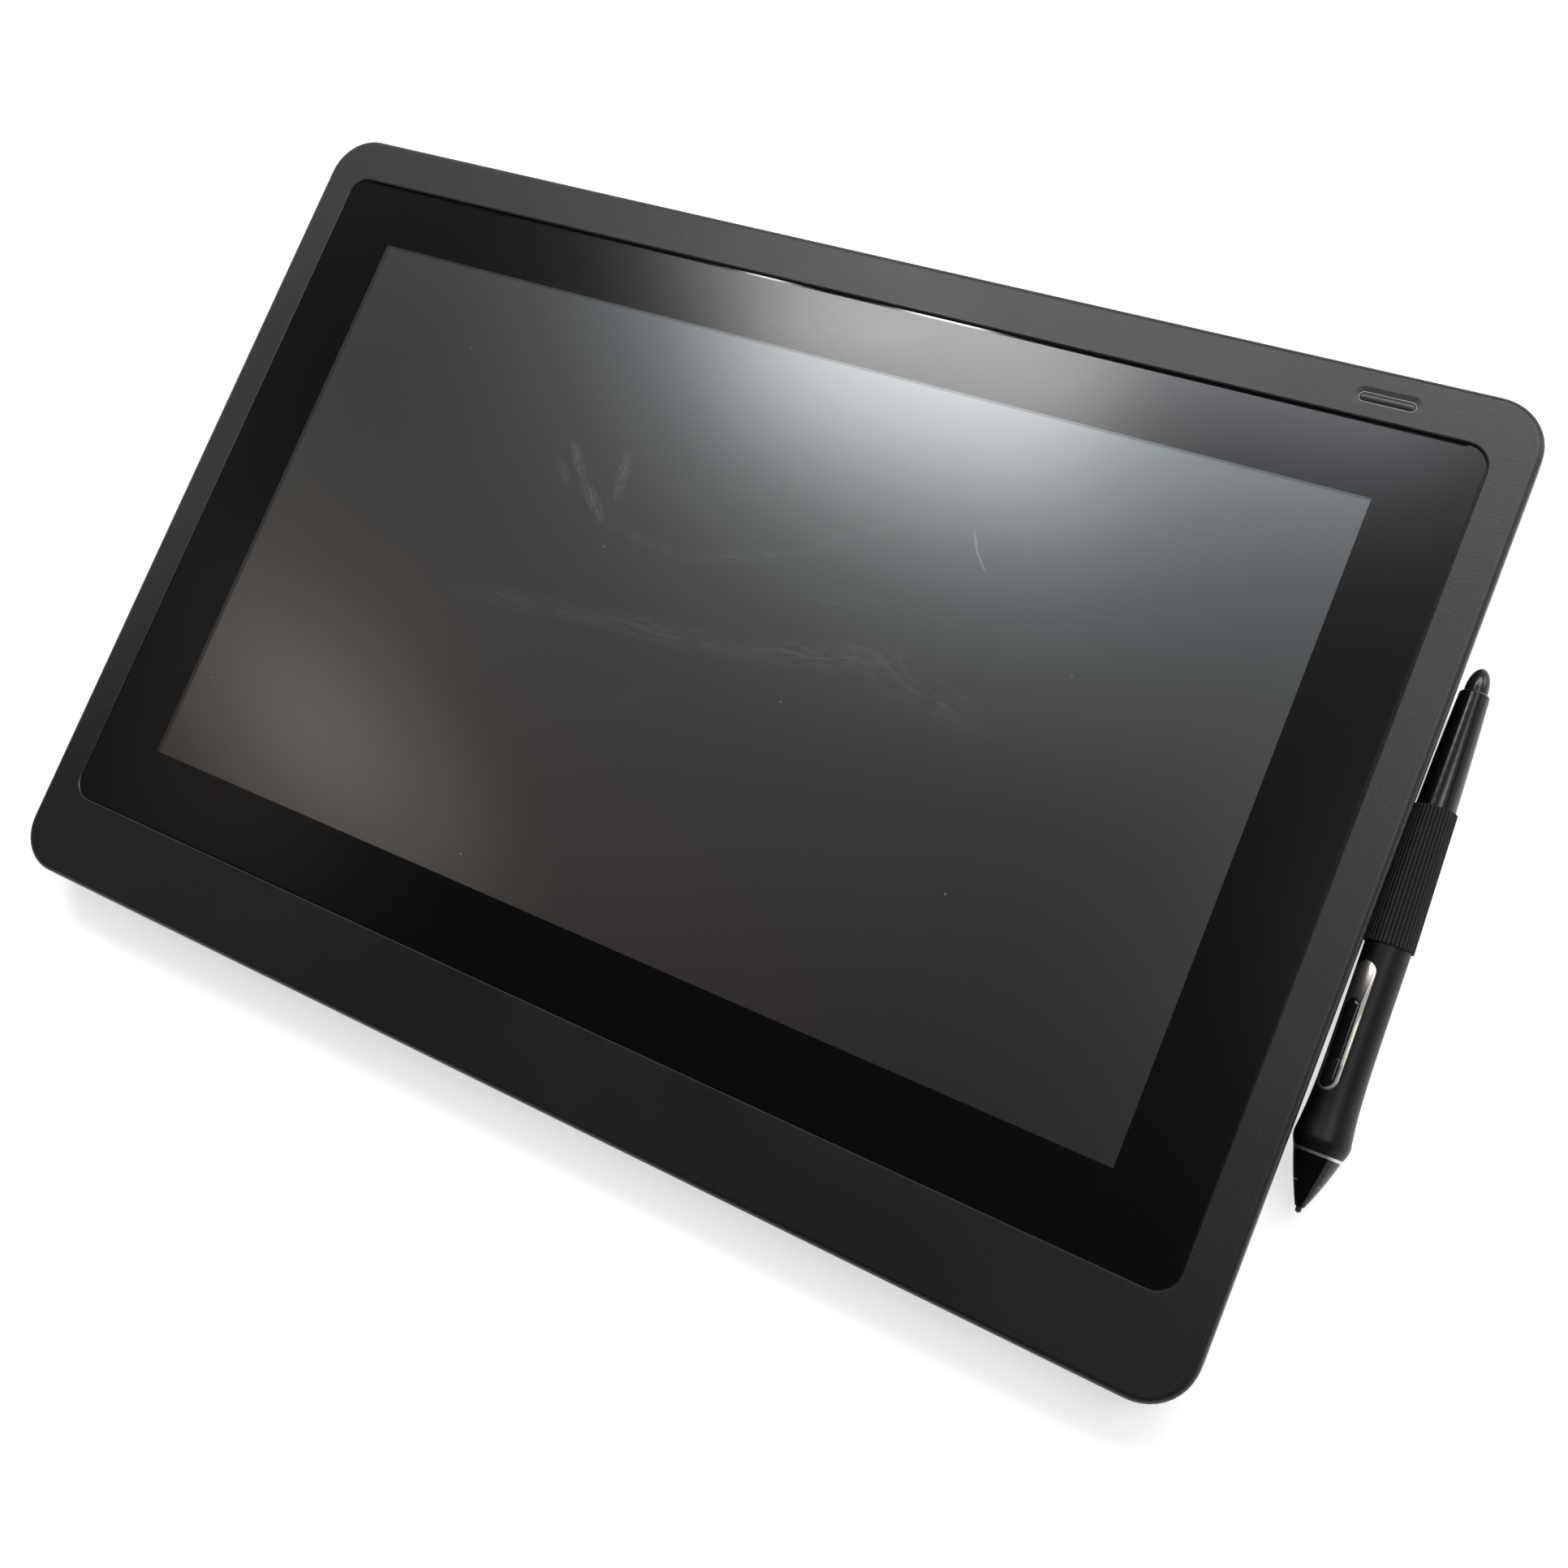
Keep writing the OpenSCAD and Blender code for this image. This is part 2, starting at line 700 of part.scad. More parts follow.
module cable_socket() color("#222426") {
  translate([-socket_w / 2, recess_y0 - socket_d, board_z - socket_h]) difference() {
    cube([socket_w, socket_d, socket_h]);
    translate([1.2, 4, 0.9]) cube([socket_w - 2.4, socket_d, socket_h - 1.8]);
    translate([-1, socket_d - 2.4, -1]) cube([2, 0.8, socket_h + 2]);
  }
  translate([-socket_w / 2 + 3, recess_y0 - socket_d + 3.8, board_z - socket_h / 2 - 0.5])
    cube([socket_w - 6, 9, 1]);
}

module board_screws() color("#b9bcc0") {
  for (p = board_screw_at) {
    translate([p[0], p[1], board_z]) screw(small_r, small_len, small_head_r, small_head_h);
  }
  for (sx = [-1, 1]) {
    translate([button_x + sx * button_peg, button_y, button_board_z])
      screw(small_r, small_len, small_head_r, small_head_h);
  }
}

module panel_cable() color("#c98a2b") {
  edge_y = window_y - tray_d / 2 - flex_t;
  run_z = chassis_z - flex_t;
  drop_y = board_y0 + 2;
  top_z = board_z + board_t + connector_h;
  translate([panel_flex_x - panel_flex_w / 2, 0, 0]) {
    translate([0, edge_y, run_z]) cube([panel_flex_w, flex_t, guide_z + 1 - run_z]);
    translate([0, edge_y, run_z]) cube([panel_flex_w, drop_y + flex_t - edge_y, flex_t]);
    translate([0, drop_y, top_z]) cube([panel_flex_w, flex_t, run_z - top_z + 0.1]);
    translate([0, drop_y, top_z]) cube([panel_flex_w, connector_d, flex_t]);
  }
}

module sensor_cable() color("#c98a2b") {
  top_z = board_z + board_t + connector_h;
  translate([sensor_flex_x - sensor_flex_w / 2, sensor_flex_y, 0]) {
    translate([0, 0, top_z]) cube([sensor_flex_w, flex_t, sensor_z - top_z]);
    translate([0, 0, top_z]) cube([sensor_flex_w, connector_d, flex_t]);
  }
}

module button_board() color("#1d4f33") {
  difference() {
    union() {
      translate([button_x - button_board_w / 2, button_y - button_board_d / 2, button_board_z])
        cube([button_board_w, button_board_d, button_board_t]);
      translate([button_x - key_w / 2, button_y - key_w / 2, button_board_z + button_board_t - 0.1])
        cube([key_w, key_w, key_h + 0.1]);
      translate([button_x, button_y, button_board_z + button_board_t]) cylinder(r = 1.4, h = 1.6);
    }
    for (sx = [-1, 1]) {
      translate([button_x + sx * button_peg, button_y, button_board_z - 1])
        cylinder(r = small_r + 0.15, h = 4);
    }
  }
}

module button_cable() color("#d8d8d2") {
  run_z = chassis_z - flex_t;
  cable_x = button_x - button_cable_in;
  start_y = button_y - button_board_d / 2;
  turn_y = button_plug_y + (button_plug_w - button_flex_w) / 2;
  end_x = button_plug_x + (button_plug_w - button_flex_w) / 2;
  top_z = board_z + board_t + connector_h;
  translate([cable_x, start_y - flex_t, run_z])
    cube([button_flex_w, flex_t, button_board_z + button_board_t - run_z]);
  translate([cable_x, turn_y, run_z]) cube([button_flex_w, start_y - turn_y, flex_t]);
  translate([end_x, turn_y, run_z]) cube([cable_x + button_flex_w - end_x, button_flex_w, flex_t]);
  translate([end_x, turn_y, top_z]) cube([flex_t, button_flex_w, run_z - top_z + 0.1]);
  translate([end_x, turn_y, top_z]) cube([button_flex_w, button_flex_w, flex_t]);
}

module button_ring() color("#b8bab8") {
  translate([button_x, button_y, face_z]) difference() {
    pill_turn(pill_len) square([ring_r, wall - dish_h]);
    translate([0, 0, -1]) pill_turn(pill_len) square([ring_r - ring_t, wall + 2]);
  }
}

module power_button() color("#2c2c2b") {
  top_z = case_h + cap_rise;
  translate([button_x, button_y, flange_z]) {
    pill_turn(pill_len) intersection() {
      square([cap_r, top_z - flange_z]);
      translate([0, top_z - flange_z - crown_r]) circle(crown_r);
    }
    pill_turn(pill_len) square([ring_r + 0.5, flange_t]);
  }
}

// Outside of the rear cover, used for its shell and to trim what stands inside it
module cover_body(inset) {
  w = case_w - 2 * seam_step - 2 * inset;
  d = case_d - 2 * seam_step - 2 * inset;
  r = case_r - seam_step - inset;
  base = inset > 0 ? floor_z : back_z;
  translate([0, 0, base]) rounded_slab(w, d, r, seam_z - base + inset)
    bottom_round(r, seam_z - base + inset, back_round - inset);
}

module leg_pocket(grow) {
  translate([-leg_pocket_w / 2 - grow, leg_pocket_y0 - grow, back_z - 1 + grow])
    cube([leg_pocket_w + 2 * grow, leg_pocket_y1 - leg_pocket_y0 + 2 * grow, pocket_z - back_z + 1]);
  translate([-notch_w / 2 - grow, leg_pocket_y0 - notch_d - grow, back_z - 1 + grow])
    cube([notch_w + 2 * grow, notch_d + 2 * grow + 1, notch_h + 1]);
}

module hinge_blocks() {
  for (sx = [-1, 1]) {
    translate([sx * (leg_pocket_w + hinge_boss) / 2, hinge_y, (floor_z + pocket_z) / 2 - 0.2])
      cube([hinge_boss + 0.2, 12, pocket_z - floor_z + 0.8], center = true);
  }
}

module slot_block(sx) {
  translate([sx * (case_w / 2 - 5.2), slot_y, (pen_z + seam_z) / 2 - 1.2])
    cube([8.8, slot_len + 5, seam_z - pen_z + 4.4], center = true);
}

module slot_cut(sx) {
  translate([sx * (case_w / 2 - 2), slot_y, pen_z]) cube([8, slot_len, slot_h], center = true);
  translate([sx * (case_w / 2 - 5.6), slot_y, pen_z]) cube([4.4, slot_len, chamber_h], center = true);
}

module nib_store() {
  store_x0 = leg_x - 2 * nib_pitch;
  translate([store_x0, store_y - nib_len / 2 - store_side, pocket_z])
    cube([leg_x + leg_w / 2 - store_side - store_x0, nib_len + 2 * store_side, store_t]);
}

module puller_shape(grow, h) {
  linear_extrude(h) pill(puller_w + 2 * grow, puller_len + 2 * grow);
}

module nib_store_cut() {
  for (i = [-1, 0, 1]) {
    translate([leg_x + i * nib_pitch, store_y, pocket_z + nib_sink]) rotate([90, 0, 0])
      cylinder(r = nib_r + slide_fit, h = nib_len + 0.4, center = true);
  }
  translate([puller_x, store_y, pocket_z - 1]) puller_shape(0.1, puller_t + 1.1);
}

module rear_cover() color("#343331") {
  difference() {
    union() {
      difference() {
        cover_body(0);
        cover_body(wall);
      }
      intersection() {
        cover_body(0);
        union() {
          for (sx = [-1, 1]) {
            translate([sx * leg_x, 0, 0]) {
              leg_pocket(liner);
              hinge_blocks();
            }
            slot_block(sx);
          }
          nib_store();
          translate([-recess_w / 2 - liner, recess_y0 - liner, back_z])
            cube([recess_w + 2 * liner, recess_d + 2 * liner, recess_h + liner]);
          translate([-channel_w / 2 - liner, recess_y0, back_z])
            cube([channel_w + 2 * liner, case_d / 2 - recess_y0, channel_h + liner]);
        }
      }
      for (p = case_screw_at) {
        translate([p[0], p[1], floor_z - 0.5]) cylinder(r = column_r, h = boss_z - floor_z + 0.5);
      }
      difference() {
        union() {
          translate([0, 0, seam_z - 3]) plate(case_w - 2 * tongue_in, case_d - 2 * tongue_in,
            case_r - tongue_in, 3 + tongue_h);
          translate([0, 0, seam_z - 3]) plate(case_w - 2 * wall, case_d - 2 * wall, case_r - wall, 2.8);
        }
        translate([0, 0, seam_z - 4]) plate(case_w - 2 * tongue_in - 2, case_d - 2 * tongue_in - 2,
          case_r - tongue_in - 1, 4 + 2 * tongue_h);
      }
    }
    for (sx = [-1, 1]) {
      translate([sx * leg_x, 0, 0]) {
        leg_pocket(0);
        translate([0, hinge_y, hinge_z]) rotate([0, 90, 0])
          cylinder(r = pin_r + seat_fit, h = pin_len, center = true);
      }
      slot_cut(sx);
      for (sy = [-1, 1]) {
        translate([sx * foot_x, sy * foot_y, back_z - 1]) foot_shape(0.1, foot_sink + 1);
      }
    }
    nib_store_cut();
    translate([-recess_w / 2, recess_y0, back_z - 1]) cube([recess_w, recess_d, recess_h + 1]);
    translate([-channel_w / 2, recess_y0 + 1, back_z - 1]) cube([channel_w, case_d, channel_h + 1]);
    translate([-socket_w / 2 - lay_fit, recess_y0 - liner - 1, board_z - socket_h - lay_fit])
      cube([socket_w + 2 * lay_fit, liner + 2, socket_h + board_t + 0.5]);
    for (p = case_screw_at) {
      translate([p[0], p[1], back_z - 1])
        cylinder(r = head_r + head_room, h = case_seat_z - back_z + 1);
      translate([p[0], p[1], back_z]) cylinder(r = screw_r + 0.15, h = boss_z);
    }
    pen_rest();
  }
}

module case_screws() color("#4a4b4d") {
  for (p = case_screw_at) {
    translate([p[0], p[1], case_seat_z]) screw(screw_r, case_screw_len, head_r, head_h);
  }
}

module foot_shape(grow, h) {
  linear_extrude(h) rotate(90) pill(foot_w + 2 * grow, foot_len + 2 * grow);
}

module rubber_feet() color("#1a1a1a") {
  for (sx = [-1, 1], sy = [-1, 1]) {
    translate([sx * foot_x, sy * foot_y, 0]) pill_turn(foot_len - foot_w)
      bottom_round(foot_w / 2, foot_h + foot_sink, 0.8);
  }
}

module leg_shape() {
  body_y0 = toe_len - leg_len;
  difference() {
    union() {
      rotate([0, 90, 0]) cylinder(r = hinge_r, h = leg_w, center = true);
      translate([-leg_w / 2, body_y0, -hinge_r]) cube([leg_w, -body_y0, leg_t]);
      translate([4 - leg_w / 2, body_y0 - toe_len + 2, -toe_tongue / 2])
        cube([leg_w - 8, toe_len, toe_tongue]);
    }
    rotate([0, 90, 0]) cylinder(r = pin_r + pin_fit, h = leg_w + 2, center = true);
    for (i = [-1, 0, 1]) {
      translate([i * leg_w * 0.31 - leg_w * 0.13, body_y0 + 3, 1.8 - hinge_r])
        cube([leg_w * 0.26, -body_y0 - hinge_r - 6, leg_t]);
    }
  }
}

module toe_shape() {
  difference() {
    translate([0, -leg_len, 0]) rotate([0, 90, 0]) linear_extrude(leg_w, center = true) {
      translate([-hinge_r, hinge_r]) square([leg_t, toe_len - hinge_r]);
      translate([0, hinge_r]) mirror([0, 1]) half_disc(hinge_r);
    }
    translate([4 - leg_w / 2, 2 - leg_len, -toe_tongue / 2]) cube([leg_w - 8, toe_len, toe_tongue]);
  }
}

module right_leg() color("#302f2e") {
  translate([leg_x, hinge_y, hinge_z]) leg_shape();
}

module left_leg() color("#302f2e") {
  translate([-leg_x, hinge_y, hinge_z]) leg_shape();
}

module right_toe() color("#191919") {
  translate([leg_x, hinge_y, hinge_z]) toe_shape();
}

module left_toe() color("#191919") {
  translate([-leg_x, hinge_y, hinge_z]) toe_shape();
}

module pin_shape() {
  rotate([0, 90, 0]) cylinder(r = pin_r, h = pin_len, center = true);
}

module right_pin() color("#b4b7ba") {
  translate([leg_x, hinge_y, hinge_z]) pin_shape();
}

module left_pin() color("#b4b7ba") {
  translate([-leg_x, hinge_y, hinge_z]) pin_shape();
}

module spare_nibs() color("#2a2a2a") {
  for (i = [-1, 0, 1]) {
    translate([leg_x + i * nib_pitch, store_y, pocket_z + nib_sink]) rotate([90, 0, 0])
      cylinder(r = nib_r, h = nib_len, center = true);
  }
}

module nib_puller() color("#8b8e90") {
  translate([puller_x, store_y, pocket_z + 0.1]) difference() {
    puller_shape(0, puller_t);
    translate([0, 2.5, -1]) cylinder(r = 2.2, h = 4);
    translate([0, -3.5, -1]) cylinder(r = nib_r + 0.05, h = 4);
  }
}

module loop_clip() color("#222222") {
  pen_place() {
    translate([-neck_in - 2.4, -bar_h / 2, loop_s0 + 0.5]) cube([2.4, bar_h, loop_len - 1]);
    translate([-neck_in - 0.1, -ply_gap / 2, loop_s0 + 0.5]) cube([3.4, ply_gap, loop_len - 1]);
  }
}

module pen_loop() color("#1b1b1c") {
  pen_place() difference() {
    union() {
      loop_cone(loop_t, 0);
      for (sy = [0, 1]) {
        mirror([0, sy, 0]) translate([-neck_in, ply_gap / 2, loop_s0])
          cube([neck_in - loop_r1 + 0.2, loop_t, loop_len]);
      }
    }
    loop_cone(0, 1);
  }
}

module pen_barrel() color("#121214") {
  pen_place() difference() {
    union() {
      translate([0, 0, ring_s1]) cylinder(r = core_r, h = grip_s1 - ring_s1 + 0.5);
      turned(concat([for (i = [0 : 2 * steps])
        let (s = grip_s1 + (tail_s - tail_chamfer - grip_s1) * i / (2 * steps)) [barrel_r(s), s]],
        [[tail_r - 0.4, tail_s]]), 0);
    }
    translate([0, 0, ring_s1 - 1]) cylinder(r = bore_r, h = bore_s1 - ring_s1 + 1);
    translate([0, 0, ring_s1]) cylinder(r = eraser_stem_r + 0.4, h = pen_len);
    translate([0, 0, tail_s - 2.5]) cylinder(r = eraser_r + slide_fit, h = 5);
    over_pen(frame_w + 2 * seat_fit, frame_s0 - seat_fit, frame_s1 + seat_fit, switch_floor);
  }
}

module pen_grip() color("#1d1d1f") {
  pen_place() difference() {
    turned(grip_stations(0), core_r + seat_fit);
    over_pen(frame_w + 2 * seat_fit, frame_s0 - seat_fit, frame_s1 + seat_fit, 2);
  }
}

module nose_cone() color("#0d0d0f") {
  pen_place() difference() {
    union() {
      turned([for (i = [0 : steps]) let (s = tip_s1 + 0.05 + (ring_s0 - tip_s1 - 0.05) * i / steps)
        [nose_r(s), s]], 0);
      translate([0, 0, ring_s0 - 0.5]) cylinder(r = nose_spigot_r, h = nose_spigot_len + 0.5);
    }
    cylinder(r = nib_r + slide_fit, h = 40);
    translate([0, 0, tip_s1 - 1]) cylinder(r = spigot_r + seat_fit, h = 4.1);
    translate([0, 0, tip_s1 + 4.5]) cylinder(r = 2.5, h = 20);
  }
}

module tip_sleeve() color("#0d0d0f") {
  pen_place() difference() {
    union() {
      turned([for (i = [0 : steps]) let (s = tip_s0 + (tip_s1 - tip_s0) * i / steps) [nose_r(s), s]], 0);
      translate([0, 0, tip_s1 - 0.5]) cylinder(r = spigot_r, h = 3.5);
    }
    cylinder(r = nib_r + slide_fit, h = 40);
  }
}

module pen_ring() color("#c9c4ba") {
  pen_place() difference() {
    translate([0, 0, ring_s0])
      cylinder(r1 = nose_r(ring_s0) + 0.05, r2 = nose_r(ring_s0) + 0.2, h = ring_s1 - ring_s0);
    translate([0, 0, ring_s0 - 1]) cylinder(r = nose_spigot_r + seat_fit, h = 4);
  }
}

module switch_frame() color("#c9c4ba") {
  pen_place() difference() {
    intersection() {
      over_pen(frame_w, frame_s0, frame_s1, switch_floor);
      turned(grip_stations(frame_proud), 0);
    }
    over_pen(frame_w - 2 * frame_rim, frame_s0 + frame_rim, plate_s, 2);
  }
}

// Pad of the side switch with a crown across and along it
module switch_pad(s0, s1, along_r, top) {
  mid = (s0 + s1) / 2;
  rotate(-switch_turn) intersection() {
    translate([0, pad_r - top, s0]) cylinder(r = pad_r, h = s1 - s0);
    translate([0, along_r - top, mid]) rotate([0, 90, 0])
      cylinder(r = along_r, h = 2 * frame_w, center = true);
    translate([-frame_w, -top - 1, s0]) cube([2 * frame_w, top + 1 - pad_floor, s1 - s0]);
  }
}

module side_switch() color("#111113") {
  pen_place() intersection() {
    over_pen(switch_w, switch_s0, switch_s1, pad_floor);
    union() {
      switch_pad(switch_s0 - 1, pivot_s, front_pad_r, grip_r + 0.7);
      switch_pad(pivot_s, switch_s1 + 1, rear_pad_r, grip_r + 0.8);
    }
  }
}

module nib() color("#3a3a3a") {
  pen_place() rotate_extrude() {
    translate([0, nib_r]) mirror([0, 1]) quarter(nib_r);
    translate([0, nib_r]) square([nib_r, nib_len - nib_r]);
  }
}

module eraser() color("#161617") {
  pen_place() {
    turned(concat([[eraser_r, tail_s - 1.2]],
      [for (i = [0 : steps]) let (s = tail_s + 0.9 + (pen_len - tail_s - 0.9) * sin(90 * i / steps))
        [eraser_out(s), s]]), 0);
    translate([0, 0, tail_s - eraser_stem_in]) cylinder(r = eraser_stem_r, h = eraser_stem_in - 1);
  }
}

module pen_board() color("#1d4f33") {
  pen_place() translate([-pen_board_w / 2, pen_board_low, pen_board_s0])
    cube([pen_board_w, pen_board_t, pen_board_s1 - pen_board_s0]);
}

module pen_coil() color("#9a5a2c") {
  pen_place() translate([0, 0, tip_s1 + 4.6]) difference() {
    cylinder(r = 2.45, h = coil_len);
    translate([0, 0, -1]) cylinder(r = nib_r + slide_fit, h = coil_len + 2);
  }
}

module pressure_sensor() color("#5c6165") {
  pen_place() translate([0, 0, sensor_s]) cylinder(r = bore_r - seat_fit, h = sensor_len);
}

module eraser_coil() color("#9a5a2c") {
  pen_place() translate([0, 0, eraser_coil_s]) cylinder(r = 2.4, h = eraser_coil_len);
}

front_bezel();
cover_glass();
border_mask();
glass_tape();
lcd_gasket();
lcd_panel();
diffuser();
light_guide();
led_bar();
lcd_tray();
sensor_board();
shield_plate();
chassis_plate();
chassis_screws();
main_board();
shield_can();
cable_socket();
board_screws();
panel_cable();
sensor_cable();
button_board();
button_cable();
button_ring();
power_button();
rear_cover();
case_screws();
rubber_feet();
left_leg();
right_leg();
left_toe();
right_toe();
left_pin();
right_pin();
spare_nibs();
nib_puller();
loop_clip();
pen_loop();
pen_barrel();
pen_grip();
nose_cone();
tip_sleeve();
pen_ring();
switch_frame();
side_switch();
nib();
eraser();
pen_board();
pen_coil();
pressure_sensor();
eraser_coil();
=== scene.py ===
import math

import bmesh
import bpy
from mathutils import Matrix, Vector


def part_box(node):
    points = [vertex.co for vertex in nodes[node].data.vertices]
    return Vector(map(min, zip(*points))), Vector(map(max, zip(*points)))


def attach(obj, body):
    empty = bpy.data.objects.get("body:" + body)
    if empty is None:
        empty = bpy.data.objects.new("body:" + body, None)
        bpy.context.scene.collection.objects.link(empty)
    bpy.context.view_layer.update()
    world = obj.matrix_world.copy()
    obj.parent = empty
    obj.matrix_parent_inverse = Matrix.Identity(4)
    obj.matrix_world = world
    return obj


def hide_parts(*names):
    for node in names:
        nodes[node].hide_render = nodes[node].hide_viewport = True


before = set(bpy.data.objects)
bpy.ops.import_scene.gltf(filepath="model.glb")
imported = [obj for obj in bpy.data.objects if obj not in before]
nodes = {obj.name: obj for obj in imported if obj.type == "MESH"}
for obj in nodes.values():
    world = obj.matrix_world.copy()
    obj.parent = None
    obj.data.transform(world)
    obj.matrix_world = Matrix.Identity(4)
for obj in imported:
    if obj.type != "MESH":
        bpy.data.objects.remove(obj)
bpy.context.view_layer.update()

# Case: front bezel and rear cover, two shells of moulded ABS that screw together from the back.
# The mould was spark-eroded, which leaves a fine even grain and a dull, dark grey face.
mm = 0.001
# A noise texture keeps mostly between these two values.
noise_low, noise_high = 0.3, 0.7


def linear(code):
    """The linear colour of an sRGB hex value."""
    parts = [int(code[i:i + 2], 16) / 255 for i in (1, 3, 5)]
    return [c / 12.92 if c <= 0.04045 else ((c + 0.055) / 1.055) ** 2.4 for c in parts] + [1.0]


def add(tree, kind, feeds=(), **settings):
    """A node with its settings. feeds gives an input a value, or the output that drives it."""
    node = tree.nodes.new(kind)
    for name, value in settings.items():
        setattr(node, name, value)
    for key, value in dict(feeds).items():
        if isinstance(value, bpy.types.NodeSocket):
            tree.links.new(value, node.inputs[key])
        else:
            node.inputs[key].default_value = value
    return node


def new_material(name):
    """An empty material, its node tree and the Object coordinates of the piece that wears it."""
    material = bpy.data.materials.new(name)
    material.use_nodes = True
    tree = material.node_tree
    tree.nodes.clear()
    return material, tree, add(tree, "ShaderNodeTexCoord").outputs["Object"]


def speckled(name, dark, light, patch, grain, depth, rough, **sockets):
    """A finish whose colour drifts between two tones over patch, with a bumpy grain and an uneven gloss."""
    material, tree, place = new_material(name)
    drift = add(tree, "ShaderNodeTexNoise", {"Vector": place, "Scale": 1 / patch, "Detail": 3.0})
    tone = add(tree, "ShaderNodeMapRange", {0: drift.outputs[0], 1: noise_low, 2: noise_high})
    colour = add(tree, "ShaderNodeMix", {
        0: tone.outputs[0], 6: linear(dark), 7: linear(light)}, data_type="RGBA")
    pits = add(tree, "ShaderNodeTexNoise", {
        "Vector": place, "Scale": 1 / grain, "Detail": 2.0, "Roughness": 0.6})
    bump = add(tree, "ShaderNodeBump", {"Height": pits.outputs[0], "Distance": depth, "Strength": 1.0})
    gloss = add(tree, "ShaderNodeMapRange", {
        0: drift.outputs[0], 1: noise_low, 2: noise_high, 3: rough[0], 4: rough[1]})
    shader = add(tree, "ShaderNodeBsdfPrincipled", {
        "Base Color": colour.outputs[2], "Roughness": gloss.outputs[0], "Normal": bump.outputs[0]})
    for socket, value in sockets.items():
        shader.inputs[socket.replace("_", " ")].default_value = value
    add(tree, "ShaderNodeOutputMaterial", {"Surface": shader.outputs[0]})
    return material


def dress(material, *names):
    """Gives CAD pieces a finish."""
    for name in names:
        slots = nodes[name].data.materials
        slots.clear()
        slots.append(material)


# The real grain is about 0.15 mm. It is drawn 0.55 mm wide, so that it shows from where the camera stands.
grain = 0.55 * mm
bezel_abs = speckled(
    "spark_eroded_abs", "#121211", "#171615", 70 * mm, grain, 0.045 * mm, (0.39, 0.45))
cover_abs = speckled("rear_cover_abs", "#1f1e1d", "#232221", 70 * mm, grain, 0.03 * mm, (0.5, 0.6))
dress(bezel_abs, "front_bezel")
dress(cover_abs, "rear_cover")

# Legs: two folding ABS flaps in pockets of the back, each on a plain steel hinge pin.
# Toes and feet are black thermoplastic rubber, pressed on or glued in, with a dull dusty face.
leg_abs = speckled("leg_abs", "#232221", "#282726", 40 * mm, grain, 0.03 * mm, (0.48, 0.58))
foot_rubber = speckled(
    "thermoplastic_rubber", "#151514", "#1d1c1b", 6 * mm, 0.5 * mm, 0.02 * mm, (0.72, 0.86))
pin_steel = speckled(
    "drawn_steel_pin", "#9a9da0", "#b3b6b8", 3 * mm, 0.4 * mm, 0.004 * mm, (0.24, 0.36), Metallic=1.0)
dress(leg_abs, "left_leg", "right_leg")
dress(foot_rubber, "left_toe", "right_toe", "rubber_feet")
dress(pin_steel, "left_pin", "right_pin")

# Screws: cross-head steel screws, black-oxide ones for the case and bright zinc-plated ones inside.
# Oxide is dark and half dull, zinc is bluish and bright with a slight frost.
black_oxide = speckled(
    "black_oxide_steel", "#2a2b2d", "#3b3c3e", 2 * mm, 0.3 * mm, 0.006 * mm, (0.38, 0.52), Metallic=1.0)
zinc_plate = speckled(
    "zinc_plated_steel", "#a4a9ae", "#c2c5c6", 2 * mm, 0.3 * mm, 0.006 * mm, (0.26, 0.4), Metallic=1.0)
dress(black_oxide, "case_screws")
dress(zinc_plate, "chassis_screws", "board_screws")

# Spare nibs and the puller that draws them, kept in the roof of the right leg's pocket.
# Nibs are moulded acetal, slightly waxy. The puller is a stamped and tumbled steel ring.
acetal = speckled("moulded_acetal", "#2c2b2a", "#383735", 4 * mm, 0.2 * mm, 0.004 * mm, (0.36, 0.46))
tumbled_steel = speckled(
    "tumbled_steel", "#85888a", "#9a9c9d", 2 * mm, 0.25 * mm, 0.006 * mm, (0.3, 0.44), Metallic=1.0)
dress(acetal, "spare_nibs")
dress(tumbled_steel, "nib_puller")

# Chassis: a pressed aluminium plate behind the screen, with a thin steel shield and a can on the main board.
# Rolled sheet shows fine lines along its length, so noise is stretched along X for colour, gloss and bump.
roll_pitch, roll_length = 0.4 * mm, 24 * mm


def rolled_sheet(name, dark, light, rough):
    """Rolled metal sheet, with long lines close together."""
    material, tree, place = new_material(name)
    along = add(tree, "ShaderNodeMapping", {
        "Vector": place, "Scale": (1 / roll_length, 1 / roll_pitch, 1 / roll_pitch)})
    lines = add(tree, "ShaderNodeTexNoise", {"Vector": along.outputs[0], "Scale": 1.0, "Detail": 3.0})
    colour = add(tree, "ShaderNodeMix", {
        0: lines.outputs[0], 6: linear(dark), 7: linear(light)}, data_type="RGBA")
    gloss = add(tree, "ShaderNodeMapRange", {
        0: lines.outputs[0], 1: noise_low, 2: noise_high, 3: rough, 4: rough + 0.14})
    bump = add(tree, "ShaderNodeBump", {"Height": lines.outputs[0], "Distance": 0.006 * mm, "Strength": 1.0})
    shader = add(tree, "ShaderNodeBsdfPrincipled", {
        "Base Color": colour.outputs[2], "Roughness": gloss.outputs[0], "Normal": bump.outputs[0],
        "Metallic": 1.0})
    add(tree, "ShaderNodeOutputMaterial", {"Surface": shader.outputs[0]})
    return material


dress(rolled_sheet("rolled_aluminium", "#8f9498", "#adb1b4", 0.34), "chassis_plate")
dress(rolled_sheet("tinned_steel_sheet", "#a3a7a9", "#c4c6c7", 0.24), "shield_plate", "shield_can")

# Boards: glass-epoxy boards with green solder mask, for the pen's sensor, the electronics and the keys.
# Copper runs under the mask show as paler lines on a 1.2 mm grid.


